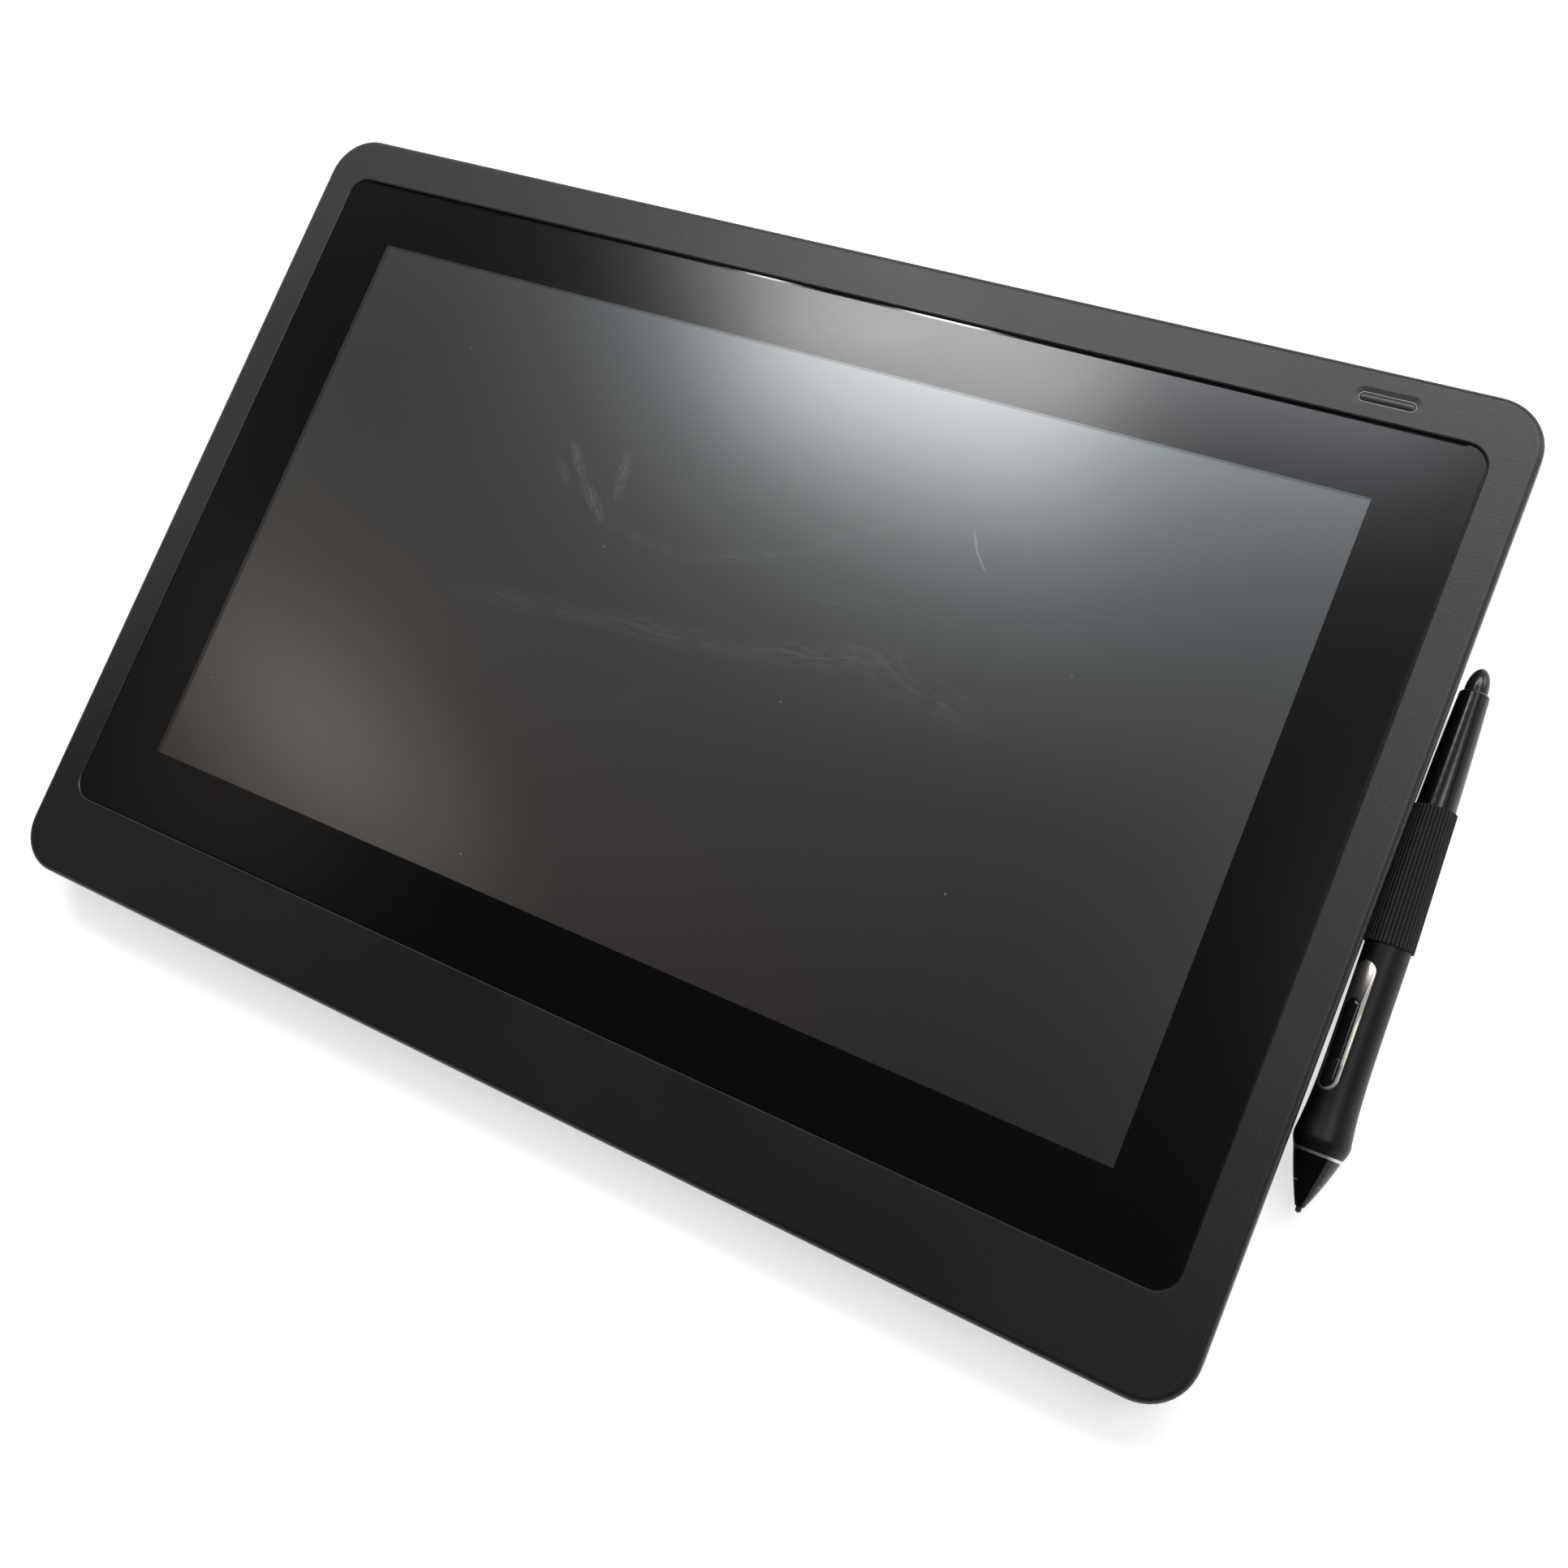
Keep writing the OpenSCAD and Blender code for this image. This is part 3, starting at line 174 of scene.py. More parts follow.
def solder_mask(name, pitch):
    """Green mask over a brick pattern of copper runs."""
    material, tree, place = new_material(name)
    runs = add(tree, "ShaderNodeTexBrick", {
        "Vector": place, "Scale": 1 / pitch, "Color1": linear("#17492e"), "Color2": linear("#1c5536"),
        "Mortar": linear("#2b7048"), "Mortar Size": 0.03})
    cloud = add(tree, "ShaderNodeTexNoise", {"Vector": place, "Scale": 1 / (5 * mm), "Detail": 3.0})
    gloss = add(tree, "ShaderNodeMapRange", {
        0: cloud.outputs[0], 1: noise_low, 2: noise_high, 3: 0.26, 4: 0.4})
    bump = add(tree, "ShaderNodeBump", {
        "Height": runs.outputs["Fac"], "Distance": 0.02 * mm, "Strength": 1.0})
    shader = add(tree, "ShaderNodeBsdfPrincipled", {
        "Base Color": runs.outputs[0], "Roughness": gloss.outputs[0], "Normal": bump.outputs[0]})
    add(tree, "ShaderNodeOutputMaterial", {"Surface": shader.outputs[0]})
    return material


dress(solder_mask("solder_masked_board", 1.2 * mm), "main_board", "sensor_board", "button_board", "pen_board")

# Flat cables between the boards: copper foil between two polyimide films, amber and glossy.
# The button's one is white polyester. The cable's socket is glass-filled nylon in black.
polyimide = speckled("polyimide_film", "#a86a1c", "#c98a2e", 3 * mm, 0.6 * mm, 0.006 * mm, (0.2, 0.32))
polyester = speckled("white_polyester_film", "#cfcfc8", "#dcdcd6", 4 * mm, 0.6 * mm, 0.006 * mm, (0.28, 0.4))
nylon = speckled("glass_filled_nylon", "#1b1c1d", "#26272a", 3 * mm, 0.3 * mm, 0.012 * mm, (0.42, 0.56))
dress(polyimide, "panel_cable", "sensor_cable")
dress(polyester, "button_cable")
dress(nylon, "cable_socket", "loop_clip")

# Screen stack: tray, light guide, LED bar, diffuser and LCD cell, with a foam gasket and a black tape frame.
# Moulded white polycarbonate holds clear acrylic, a milky film and the dark glass of the cell.
tray_plastic = speckled(
    "white_polycarbonate", "#d0d0cc", "#dedcd8", 30 * mm, 0.4 * mm, 0.01 * mm, (0.4, 0.52))
acrylic = speckled("cast_acrylic", "#d8e2e0", "#e6ecea", 50 * mm, 3 * mm, 0.004 * mm, (0.06, 0.12), IOR=1.49)
diffuser_film = speckled("milky_pet_film", "#e2e2dc", "#ecece8", 50 * mm, 0.3 * mm, 0.008 * mm, (0.5, 0.62))
phosphor = speckled("led_phosphor", "#d8c878", "#e8dc98", 4 * mm, 0.5 * mm, 0.01 * mm, (0.4, 0.5))
cell_glass = speckled("lcd_cell_polariser", "#2b2826", "#322f2c", 60 * mm, 0.4 * mm, 0.006 * mm, (0.38, 0.46))
foam = speckled("cellular_foam", "#232323", "#303030", 3 * mm, 0.7 * mm, 0.08 * mm, (0.86, 0.96))
acrylic_tape = speckled("black_acrylic_tape", "#181818", "#202020", 8 * mm, 0.6 * mm, 0.01 * mm, (0.5, 0.62))
border_ink = speckled("screen_printed_ink", "#08080a", "#0c0c0e", 20 * mm, 0.4 * mm, 0.004 * mm, (0.3, 0.42))
dress(tray_plastic, "lcd_tray")
dress(acrylic, "light_guide")
dress(diffuser_film, "diffuser")
dress(phosphor, "led_bar")
dress(cell_glass, "lcd_panel")
dress(foam, "lcd_gasket")
dress(acrylic_tape, "glass_tape")
dress(border_ink, "border_mask")

# Cover glass: one etched sheet of strengthened glass, taped into the bezel, with a polished bevel along
# its top side. Its back is printed black round the window, and the cell is bonded behind the window
# with no air between.
glass_low, glass_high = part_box("cover_glass")
glass_middle = (glass_low + glass_high) / 2
glass_corner = 6.5 * mm
edge_bevel, edge_round = 0.75 * mm, 0.12 * mm
bevel_slope = math.radians(12)
edge_drop = (edge_bevel - edge_round) * math.tan(bevel_slope)
window_w, window_d = 346.5 * mm, 195.3 * mm
window_y = 7.55 * mm
dark_left, dark_top, dark_rest = 1.5 * mm, 0.8 * mm, 0.1 * mm
arc_steps, round_turns = 10, 4


def add_loop(mesh, points):
    """A ring of vertices."""
    return [mesh.verts.new(p) for p in points]


def join_loops(mesh, lower, upper):
    """A band of faces between two rings of as many points."""
    count = len(lower)
    return [mesh.faces.new((lower[i], lower[(i + 1) % count], upper[(i + 1) % count], upper[i]))
            for i in range(count)]


def glass_outline(inset, z, drop=0.0):
    """The sheet's outline, counter-clockwise from its right side. Its top side lies lower by drop."""
    half = (glass_high - glass_low) / 2
    points = []
    for sx, sy, start in ((1, 1, 0), (-1, 1, 90), (-1, -1, 180), (1, -1, 270)):
        centre = Vector((sx * (half.x - glass_corner), sy * (half.y - glass_corner), 0))
        for i in range(arc_steps + 1):
            angle = math.radians(start + 90 * i / arc_steps)
            reach = Vector((math.cos(angle), math.sin(angle), 0)) * (glass_corner - inset)
            on_top_side = sy > 0 and i == (arc_steps if sx > 0 else 0)
            level = z - drop if on_top_side else z
            points.append(Vector((glass_middle.x, glass_middle.y, level)) + centre + reach)
    return points


def window_corners(left, top, rest, z):
    """Corners of the window, drawn in on each side, in the order of the outline's corners."""
    x0, x1 = left - window_w / 2, window_w / 2 - rest
    y0, y1 = window_y - window_d / 2 + rest, window_y + window_d / 2 - top
    return [Vector((x, y, z)) for x, y in ((x1, y1), (x0, y1), (x0, y0), (x1, y0))]


def piece_from(name, mesh, *materials):
    """A finished object from a bmesh, in place, with its finishes."""
    data = bpy.data.meshes.new(name)
    mesh.to_mesh(data)
    mesh.free()
    for material in materials:
        data.materials.append(material)
    piece = bpy.data.objects.new(name, data)
    bpy.context.scene.collection.objects.link(piece)
    return piece


def make_cover_glass(border, margin, window, bevel):
    """The sheet with its rounded edge. The front is cut into bevel, border, margin and window."""
    mesh = bmesh.new()
    low, top = glass_low.z, glass_high.z
    rings = [add_loop(mesh, glass_outline(0, low))]
    for i in range(round_turns + 1):
        angle = math.radians(90 * i / round_turns)
        level = top - edge_round * (1 - math.sin(angle))
        rings.append(add_loop(mesh, glass_outline(edge_round * (1 - math.cos(angle)), level, edge_drop)))
    for lower, upper in zip(rings, rings[1:]):
        for face in join_loops(mesh, lower, upper):
            face.smooth = True
    mesh.faces.new(list(reversed(rings[0])))
    rings.append(add_loop(mesh, glass_outline(edge_bevel, top)))
    for face in join_loops(mesh, rings[-2], rings[-1]):
        polished = min(vertex.co.z for vertex in face.verts) < top - edge_drop / 2
        face.material_index = 3 if polished else 0
    rim = rings[-1]
    opening = add_loop(mesh, window_corners(0, 0, 0, top))
    picture = add_loop(mesh, window_corners(dark_left, dark_top, dark_rest, top))
    per_corner = arc_steps + 1
    for corner in range(4):
        first = corner * per_corner
        for i in range(arc_steps):
            mesh.faces.new((rim[first + i], rim[first + i + 1], opening[corner]))
        last = first + arc_steps
        following = (corner + 1) % 4
        mesh.faces.new((rim[last], rim[(last + 1) % len(rim)], opening[following], opening[corner]))
        face = mesh.faces.new((opening[corner], opening[following], picture[following], picture[corner]))
        face.material_index = 1
    mesh.faces.new(picture).material_index = 2
    for ring in rings[-2:]:
        for i, vertex in enumerate(ring):
            mesh.edges.get((vertex, ring[(i + 1) % len(ring)])).smooth = False
    return piece_from("etched_cover_glass", mesh, border, margin, window, bevel)


# Etched glass throws a soft wide gleam, so its coat is rough. What is bonded behind it gives the base
# its colour. The real etching is far finer than 0.6 mm, and is drawn that coarse so that it shows.
etch_grain, etch_depth = 0.6 * mm, 0.001 * mm
glass_rough = 0.2


def etched_glass(name, colour_of, gleam, rough, tint="#ffffff", face=glass_rough):
    """Etched glass over a backing. colour_of adds the backing's colour nodes and returns their output."""
    material, tree, place = new_material(name)
    etch = add(tree, "ShaderNodeTexNoise", {"Vector": place, "Scale": 1 / etch_grain, "Detail": 2.0})
    bump = add(tree, "ShaderNodeBump", {"Height": etch.outputs[0], "Distance": etch_depth, "Strength": 1.0})
    shader = add(tree, "ShaderNodeBsdfPrincipled", {
        "Base Color": colour_of(tree, place), "Roughness": rough, "Normal": bump.outputs[0],
        "Coat Weight": 1.0, "Coat Roughness": face, "Coat IOR": 1.5, "Coat Normal": bump.outputs[0],
        "Specular IOR Level": gleam, "Specular Tint": linear(tint)})
    add(tree, "ShaderNodeOutputMaterial", {"Surface": shader.outputs[0]})
    return material


# Marks of use: place of the middle, half length and half width in mm, turn in degrees, strength and tone.
# Grease is pale where fingers smeared it and dark where they pressed, and the pen left a few scuffs.
# On the window the film tone is also the colour of a painted reflection.
grease, film, press, scuff = "#8c8f90", "#a19b93", "#0c0b0b", "#c8cacb"
border_films = [(4, 115, 42, 13, 4, 0.1), (22, 119, 18, 6, 20, 0.06), (80, 116, 34, 12, 6, 0.05)]
# The window's films are grease where the hand rests and also a painted reflection: a pale warm patch at the
# lower left.
window_films_and_reflection = [(-110, -66, 120, 50, -20, 0.255), (-70, -35, 240, 130, -15, 0.08)]
window_marks = [
    (-65.6, 51.1, 9, 2.4, -49, 0.8, grease), (-53.7, 39.2, 11, 2.8, -41, 0.8, grease),
    (-47.5, 49.7, 10, 2.8, -81, 0.65, grease), (-68.5, 45.9, 7, 2, -51, 0.5, grease),
    (-30, 31.7, 20, 2.4, -4, 0.24, grease), (3, 36.6, 24, 2.6, 19, 0.24, grease),
    (34, 52, 20, 3, 36, 0.14, grease), (-61.6, 0.7, 34, 5, 5, 0.2, grease),
    (-11.6, 5.9, 40, 5, 5, 0.28, grease), (38, 14.3, 32, 6, 14, 0.3, grease),
    (68.6, 15.8, 36, 9, -14, 0.18, grease), (-13, -16, 14, 3, 50, 0.1, grease),
    (-68.1, 89.6, 13, 2.6, 10, 1.0, press), (-24.6, 102.8, 10, 3.4, 0, 0.6, press),
    (72.3, 61.5, 4.6, 0.5, -59, 1.0, scuff), (76, 56.5, 4.4, 0.5, -48, 1.0, scuff),
    (37.4, 31.3, 16, 0.2, 5, 0.4, scuff), (98.4, 49.8, 11, 0.2, 26, 0.2, scuff),
]
streak_scale = (2.6, 3.4, 1.0)
smear_low, smear_high = 0.42, 0.75
dust_cell, dust_radius, dust_strength = 16 * mm, 0.022, 0.4


def spot_at(tree, place, x, y, length, width, turn):
    """A long soft spot on the glass: its own coordinates and its fall from the middle to the rim."""
    local = add(tree, "ShaderNodeMapping", {
        "Vector": place, "Location": (x * mm, y * mm, 0), "Rotation": (0, 0, math.radians(turn)),
        "Scale": (length * mm, width * mm, 1)}, vector_type="TEXTURE")
    fall = add(tree, "ShaderNodeTexGradient", {"Vector": local.outputs[0]}, gradient_type="SPHERICAL")
    return local.outputs[0], fall.outputs[1]


def smeared(tree, place, colour, marks):
    """A colour with streaky marks laid over it."""
    for x, y, length, width, turn, strength, tone in marks:
        local, fall = spot_at(tree, place, x, y, length, width, turn)
        streaks = add(tree, "ShaderNodeMapping", {"Vector": local, "Scale": streak_scale})
        smear = add(tree, "ShaderNodeTexNoise", {
            "Vector": streaks.outputs[0], "Scale": 1.6, "Detail": 5.0, "Roughness": 0.62, "Distortion": 1.0})
        patchy = add(tree, "ShaderNodeMapRange", {
            0: smear.outputs[0], 1: smear_low, 2: smear_high, 4: strength})
        share = add(tree, "ShaderNodeMath", {0: fall, 1: patchy.outputs[0]}, operation="MULTIPLY")
        colour = add(tree, "ShaderNodeMix", {
            0: share.outputs[0], 6: colour, 7: linear(tone)}, data_type="RGBA").outputs[2]
    return colour


def filmed(tree, place, colour, films):
    """A colour with soft pale films laid over it: grease, and on the window also a painted reflection."""
    for x, y, length, width, turn, strength in films:
        fall = spot_at(tree, place, x, y, length, width, turn)[1]
        haze = add(tree, "ShaderNodeMapRange", {0: fall, 4: strength}, interpolation_type="SMOOTHSTEP")
        colour = add(tree, "ShaderNodeMix", {
            0: haze.outputs[0], 6: colour, 7: linear(film)}, data_type="RGBA").outputs[2]
    return colour


def ink_colour(tree, place):
    """Printed black, a shade uneven, with a film above the screen where it is held."""
    cloud = add(tree, "ShaderNodeTexNoise", {"Vector": place, "Scale": 1 / (30 * mm), "Detail": 2.0})
    colour = add(tree, "ShaderNodeMix", {
        0: cloud.outputs[0], 6: linear("#050506"), 7: linear("#09090a")}, data_type="RGBA").outputs[2]
    return filmed(tree, place, colour, border_films)


def window_colour(tree, place):
    """The dark cell with a film where the hand rests, also a painted reflection, and the wipe marks, scuffs
    and dust of use.
    """
    cloud = add(tree, "ShaderNodeTexNoise", {"Vector": place, "Scale": 1 / (60 * mm), "Detail": 2.0})
    colour = add(tree, "ShaderNodeMix", {
        0: cloud.outputs[0], 6: linear("#231c1b"), 7: linear("#28211f")}, data_type="RGBA").outputs[2]
    colour = filmed(tree, place, colour, window_films_and_reflection)
    colour = smeared(tree, place, colour, window_marks)
    dust = add(tree, "ShaderNodeTexVoronoi", {"Vector": place, "Scale": 1 / dust_cell})
    speck = add(tree, "ShaderNodeMath", {
        0: dust.outputs["Distance"], 1: dust_radius}, operation="LESS_THAN")
    thin = add(tree, "ShaderNodeMath", {0: speck.outputs[0], 1: dust_strength}, operation="MULTIPLY")
    return add(tree, "ShaderNodeMix", {
        0: thin.outputs[0], 6: colour, 7: linear("#a8a8a4")}, data_type="RGBA").outputs[2]


def margin_colour(tree, place):
    """The cell's black matrix round the picture."""
    cloud = add(tree, "ShaderNodeTexNoise", {"Vector": place, "Scale": 1 / (20 * mm), "Detail": 2.0})
    return add(tree, "ShaderNodeMix", {
        0: cloud.outputs[0], 6: linear("#1c1a19"), 7: linear("#211f1e")}, data_type="RGBA").outputs[2]


glass = make_cover_glass(
    etched_glass("etched_glass_over_ink", ink_colour, 0.0, 0.6),
    etched_glass("etched_glass_over_margin", margin_colour, 0.5, 0.32, "#f4fdff"),
    etched_glass("etched_glass_over_cell", window_colour, 0.95, 0.3, "#ecfbff"),
    etched_glass("polished_glass_over_ink", ink_colour, 0.0, 0.6, face=0.08))
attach(glass, "case")
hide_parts("cover_glass")

# Power button: a crowned pill of ABS in a thin pale ring, which is a clear light pipe when it is lit.
# The cap is moulded smoother than the bezel, so it catches a soft line of light.
cap_abs = speckled("satin_abs_cap", "#262725", "#2d2e2c", 6 * mm, 0.4 * mm, 0.008 * mm, (0.3, 0.38))
# The ring's pale grey is partly its frosted plastic and partly a painted highlight, the glint along its edge.
ring_plastic_and_highlight = speckled(
    "frosted_ring_and_painted_highlight", "#747573", "#8c8d8b", 3 * mm, 0.3 * mm, 0.006 * mm, (0.3, 0.42))
dress(cap_abs, "power_button")
dress(ring_plastic_and_highlight, "button_ring")

# Pen loop: woven elastic with rubber cords in it, folded round the pen and clipped into the side of the case.
# The cords make ribs along the pen, one every millimetre, and the ends are cut straight.
# The pen lies tip towards the viewer. Its points are (across, down, along), with along from the nib's tip.
pen_tip = Vector((219.2, -82.1, 12.6)) * mm
pen_yaw = math.radians(1.44)
pen_place = (Matrix.Translation(pen_tip) @ Matrix.Rotation(pen_yaw, 4, "Z")
             @ Matrix.Rotation(-math.pi / 2, 4, "X"))
grip_r = 6.05 * mm
barrel_s0, barrel_r0 = 75 * mm, grip_r - 0.3 * mm
tail_s, tail_r = 146.1 * mm, 3.95 * mm
taper_power = 1.9
loop_s0 = 73.5 * mm
loop_len = 39 * mm
loop_room = 0.15 * mm
ply = 0.3 * mm
rib_pitch, rib_r = 1.02 * mm, 0.34 * mm
rib_sides, rib_rings, rib_swell, weave_seed = 8, 84, 0.14, 7
rib_end, rib_end_size = 0.485, 0.72
thread_pitch = 0.5 * mm
neck_reach = 10.6 * mm
neck_half = 0.72 * mm
loop_rows = 40


def barrel_radius(along):
    """Radius of the tapered barrel behind the grip."""
    return barrel_r0 - (barrel_r0 - tail_r) * ((along - barrel_s0) / (tail_s - barrel_s0)) ** taper_power


def loop_path(along, step_count):
    """The strip's line round the pen at one place along it, from one end in the clip to the other."""
    share = (along - loop_s0) / loop_len
    front_r = grip_r + loop_room
    back_r = barrel_radius(loop_s0 + loop_len) + loop_room
    radius = front_r + (back_r - front_r) * share + ply / 2
    split = math.asin(neck_half / radius)
    neck = neck_reach - radius * math.cos(split)
    arc = (2 * math.pi - 2 * split) * radius
    points = []
    for i in range(step_count + 1):
        run = (2 * neck + arc) * i / step_count
        if run < neck:
            points.append(Vector((run - neck_reach, -neck_half, along)))
        elif run > neck + arc:
            points.append(Vector((neck + arc - run - radius * math.cos(split), neck_half, along)))
        else:
            angle = math.pi + split + (run - neck) / radius
            points.append(Vector((radius * math.cos(angle), radius * math.sin(angle), along)))
    return points


def strip_length():
    """Length of the strip round the pen at the middle of the loop, from clip to clip."""
    line = loop_path(loop_s0 + loop_len / 2, 400)
    return sum((b - a).length for a, b in zip(line, line[1:]))


strip_len = strip_length()
rib_count = round(strip_len / rib_pitch)
per_rib = 3


def make_strip():
    """The flat ply as one sheet of faces. Its edges along the pen under each rib are marked."""
    mesh = bmesh.new()
    mark = mesh.edges.layers.bool.new("rib_line")
    rows = []
    for row in range(loop_rows + 1):
        line = loop_path(loop_s0 + loop_len * row / loop_rows, rib_count * per_rib)
        rows.append([mesh.verts.new(pen_place @ p) for p in line])
    for near, far in zip(rows, rows[1:]):
        for i in range(len(near) - 1):
            mesh.faces.new((near[i], near[i + 1], far[i + 1], far[i])).smooth = True
        for i in range(1, len(near), per_rib):
            mesh.edges.get((near[i], far[i]))[mark] = True
    bmesh.ops.recalc_face_normals(mesh, faces=mesh.faces)
    return mesh


def elastic(name, dark, light):
    """Black polyester round rubber: fine cross threads, dull, with a soft bloom of fibre. The threads' pale
    tone is also a painted glint.
    """
    material, tree, place = new_material(name)
    turned = add(tree, "ShaderNodeMapping", {"Vector": place, "Rotation": (0, 0, pen_yaw)})
    # The wave texture's own wavelength, at a scale of 1.
    wave_length = 0.314
    threads = add(tree, "ShaderNodeTexWave", {
        "Vector": turned.outputs[0], "Scale": wave_length / thread_pitch, "Distortion": 2.0, "Detail": 2.0,
        "Detail Scale": 2.0}, bands_direction="Y")
    fuzz = add(tree, "ShaderNodeTexNoise", {"Vector": place, "Scale": 1 / (0.7 * mm), "Detail": 3.0})
    mixed = add(tree, "ShaderNodeMath", {
        0: threads.outputs[1], 1: 0.3, 2: fuzz.outputs[0]}, operation="MULTIPLY_ADD")
    colour = add(tree, "ShaderNodeMix", {
        0: mixed.outputs[0], 6: linear(dark), 7: linear(light)}, data_type="RGBA")
    bump = add(tree, "ShaderNodeBump", {"Height": mixed.outputs[0], "Distance": 0.05 * mm, "Strength": 1.0})
    shader = add(tree, "ShaderNodeBsdfPrincipled", {
        "Base Color": colour.outputs[2], "Roughness": 0.85, "Normal": bump.outputs[0],
        "Sheen Weight": 0.08, "Sheen Roughness": 0.4, "Sheen Tint": linear("#6a6966"),
        "Specular IOR Level": 0.3})
    add(tree, "ShaderNodeOutputMaterial", {"Surface": shader.outputs[0]})
    return material


def rib_tree(material):
    """Nodes that lay a round rib along every marked line of the strip."""
    tree = bpy.data.node_groups.new("ribs_of_the_loop", "GeometryNodeTree")
    tree.interface.new_socket("Strip", in_out="INPUT", socket_type="NodeSocketGeometry")
    tree.interface.new_socket("Rib radius", in_out="INPUT", socket_type="NodeSocketFloat")
    tree.interface.new_socket("Rings", in_out="INPUT", socket_type="NodeSocketInt")
    tree.interface.new_socket("Swell", in_out="INPUT", socket_type="NodeSocketFloat")
    tree.interface.new_socket("Ribs", in_out="OUTPUT", socket_type="NodeSocketGeometry")
    given = add(tree, "NodeGroupInput")
    marked = add(tree, "GeometryNodeInputNamedAttribute", {"Name": "rib_line"}, data_type="BOOLEAN")
    lines = add(tree, "GeometryNodeMeshToCurve", {
        "Mesh": given.outputs["Strip"], "Selection": marked.outputs[0]})
    rings = add(tree, "GeometryNodeResampleCurve", {
        "Curve": lines.outputs[0], "Count": given.outputs["Rings"]})
    way = add(tree, "GeometryNodeSplineParameter")
    number = add(tree, "GeometryNodeInputIndex")
    weave = add(tree, "FunctionNodeRandomValue", {"ID": number.outputs[0], "Seed": weave_seed})
    uneven = add(tree, "ShaderNodeMath", {
        0: weave.outputs[1], 1: given.outputs["Swell"], 2: 1.0}, operation="MULTIPLY_ADD")
    end = add(tree, "ShaderNodeMath", {0: way.outputs["Factor"], 1: 0.5}, operation="SUBTRACT")
    far = add(tree, "ShaderNodeMath", {0: end.outputs[0]}, operation="ABSOLUTE")
    close = add(tree, "ShaderNodeMapRange", {0: far.outputs[0], 1: rib_end, 2: 0.5, 3: 1.0, 4: rib_end_size})
    thick = add(tree, "ShaderNodeMath", {0: uneven.outputs[0], 1: close.outputs[0]}, operation="MULTIPLY")
    swollen = add(tree, "GeometryNodeSetCurveRadius", {
        "Curve": rings.outputs[0], "Radius": thick.outputs[0]})
    round_line = add(tree, "GeometryNodeCurvePrimitiveCircle", {
        "Resolution": rib_sides, "Radius": given.outputs["Rib radius"]})
    ribs = add(tree, "GeometryNodeCurveToMesh", {
        "Curve": swollen.outputs[0], "Profile Curve": round_line.outputs[0], "Fill Caps": True})
    shaded = add(tree, "GeometryNodeSetShadeSmooth", {0: ribs.outputs[0]})
    whole = add(tree, "GeometryNodeRealizeInstances", {0: shaded.outputs[0]})
    worn = add(tree, "GeometryNodeSetMaterial", {"Geometry": whole.outputs[0], "Material": material})
    add(tree, "NodeGroupOutput", {"Ribs": worn.outputs[0]})
    return tree


def make_ribs(strip, material):
    """The ribs as a plain mesh."""
    carrier = bpy.data.objects.new("rib_carrier", strip.data.copy())
    bpy.context.scene.collection.objects.link(carrier)
    modifier = carrier.modifiers.new("ribs", "NODES")
    modifier.node_group = rib_tree(material)
    sizes = {"Rib radius": rib_r, "Rings": rib_rings, "Swell": rib_swell}
    for socket in modifier.node_group.interface.items_tree:
        if socket.name in sizes:
            modifier[socket.identifier] = sizes[socket.name]
    view = bpy.context.evaluated_depsgraph_get()
    data = bpy.data.meshes.new_from_object(carrier.evaluated_get(view))
    bpy.data.objects.remove(carrier)
    ribs = bpy.data.objects.new("ribs_of_the_loop", data)
    bpy.context.scene.collection.objects.link(ribs)
    return ribs


# The ground between the ribs is near black: painted shade between the ribs, over the elastic's own black.
strip = piece_from("elastic_pen_loop", make_strip(), elastic("elastic_ground_in_painted_shade", "#040404", "#080808"))
# The ribs' pale threads are the cord's weave and also painted glints on the rib tops.
ribs = make_ribs(strip, elastic("rubber_cord_with_painted_glints", "#0b0b0a", "#3a3937"))
strip_depth = strip.modifiers.new("ply", "SOLIDIFY")
strip_depth.thickness = ply
strip_depth.offset = 0.0
for cloth in (strip, ribs):
    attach(cloth, "case")
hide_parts("pen_loop")

# Pen barrel, nose and tip: black ABS from a polished mould. The nose keeps its sharp gloss, and hands have
# dulled the barrel. The grip is a soft rubber sleeve over the barrel, satin, with a tone that drifts a
# little at random.
gloss_abs = speckled("polished_black_abs", "#060607", "#09090a", 30 * mm, 4 * mm, 0.0002 * mm, (0.08, 0.13))
barrel_abs = speckled("handled_black_abs", "#070708", "#0a0a0b", 30 * mm, 4 * mm, 0.0002 * mm, (0.19, 0.24))
eraser_abs = speckled("satin_black_abs", "#1a1a1c", "#212124", 8 * mm, 0.6 * mm, 0.002 * mm, (0.2, 0.28))
grip_rubber = speckled(
    "soft_touch_rubber", "#0a0b0d", "#0f1012", 18 * mm, 0.4 * mm, 0.003 * mm, (0.38, 0.46),
    Specular_IOR_Level=0.28)
dress(gloss_abs, "nose_cone", "tip_sleeve")
dress(barrel_abs, "pen_barrel")
dress(grip_rubber, "pen_grip")
dress(eraser_abs, "eraser")
dress(acetal, "nib")

# Inside the pen: wound coils on ferrite and a pressure sensor in a steel can.
# Enamelled copper wire shows as fine bright rings across the coil.
enamelled_copper = speckled(
    "enamelled_copper", "#7c431d", "#a9642f", 1 * mm, 0.2 * mm, 0.02 * mm, (0.28, 0.4), Metallic=1.0)
sensor_can = speckled(
    "sensor_can_steel", "#565b5f", "#6b7074", 3 * mm, 0.3 * mm, 0.006 * mm, (0.34, 0.46), Metallic=1.0)
dress(enamelled_copper, "pen_coil", "eraser_coil")
dress(sensor_can, "pressure_sensor")

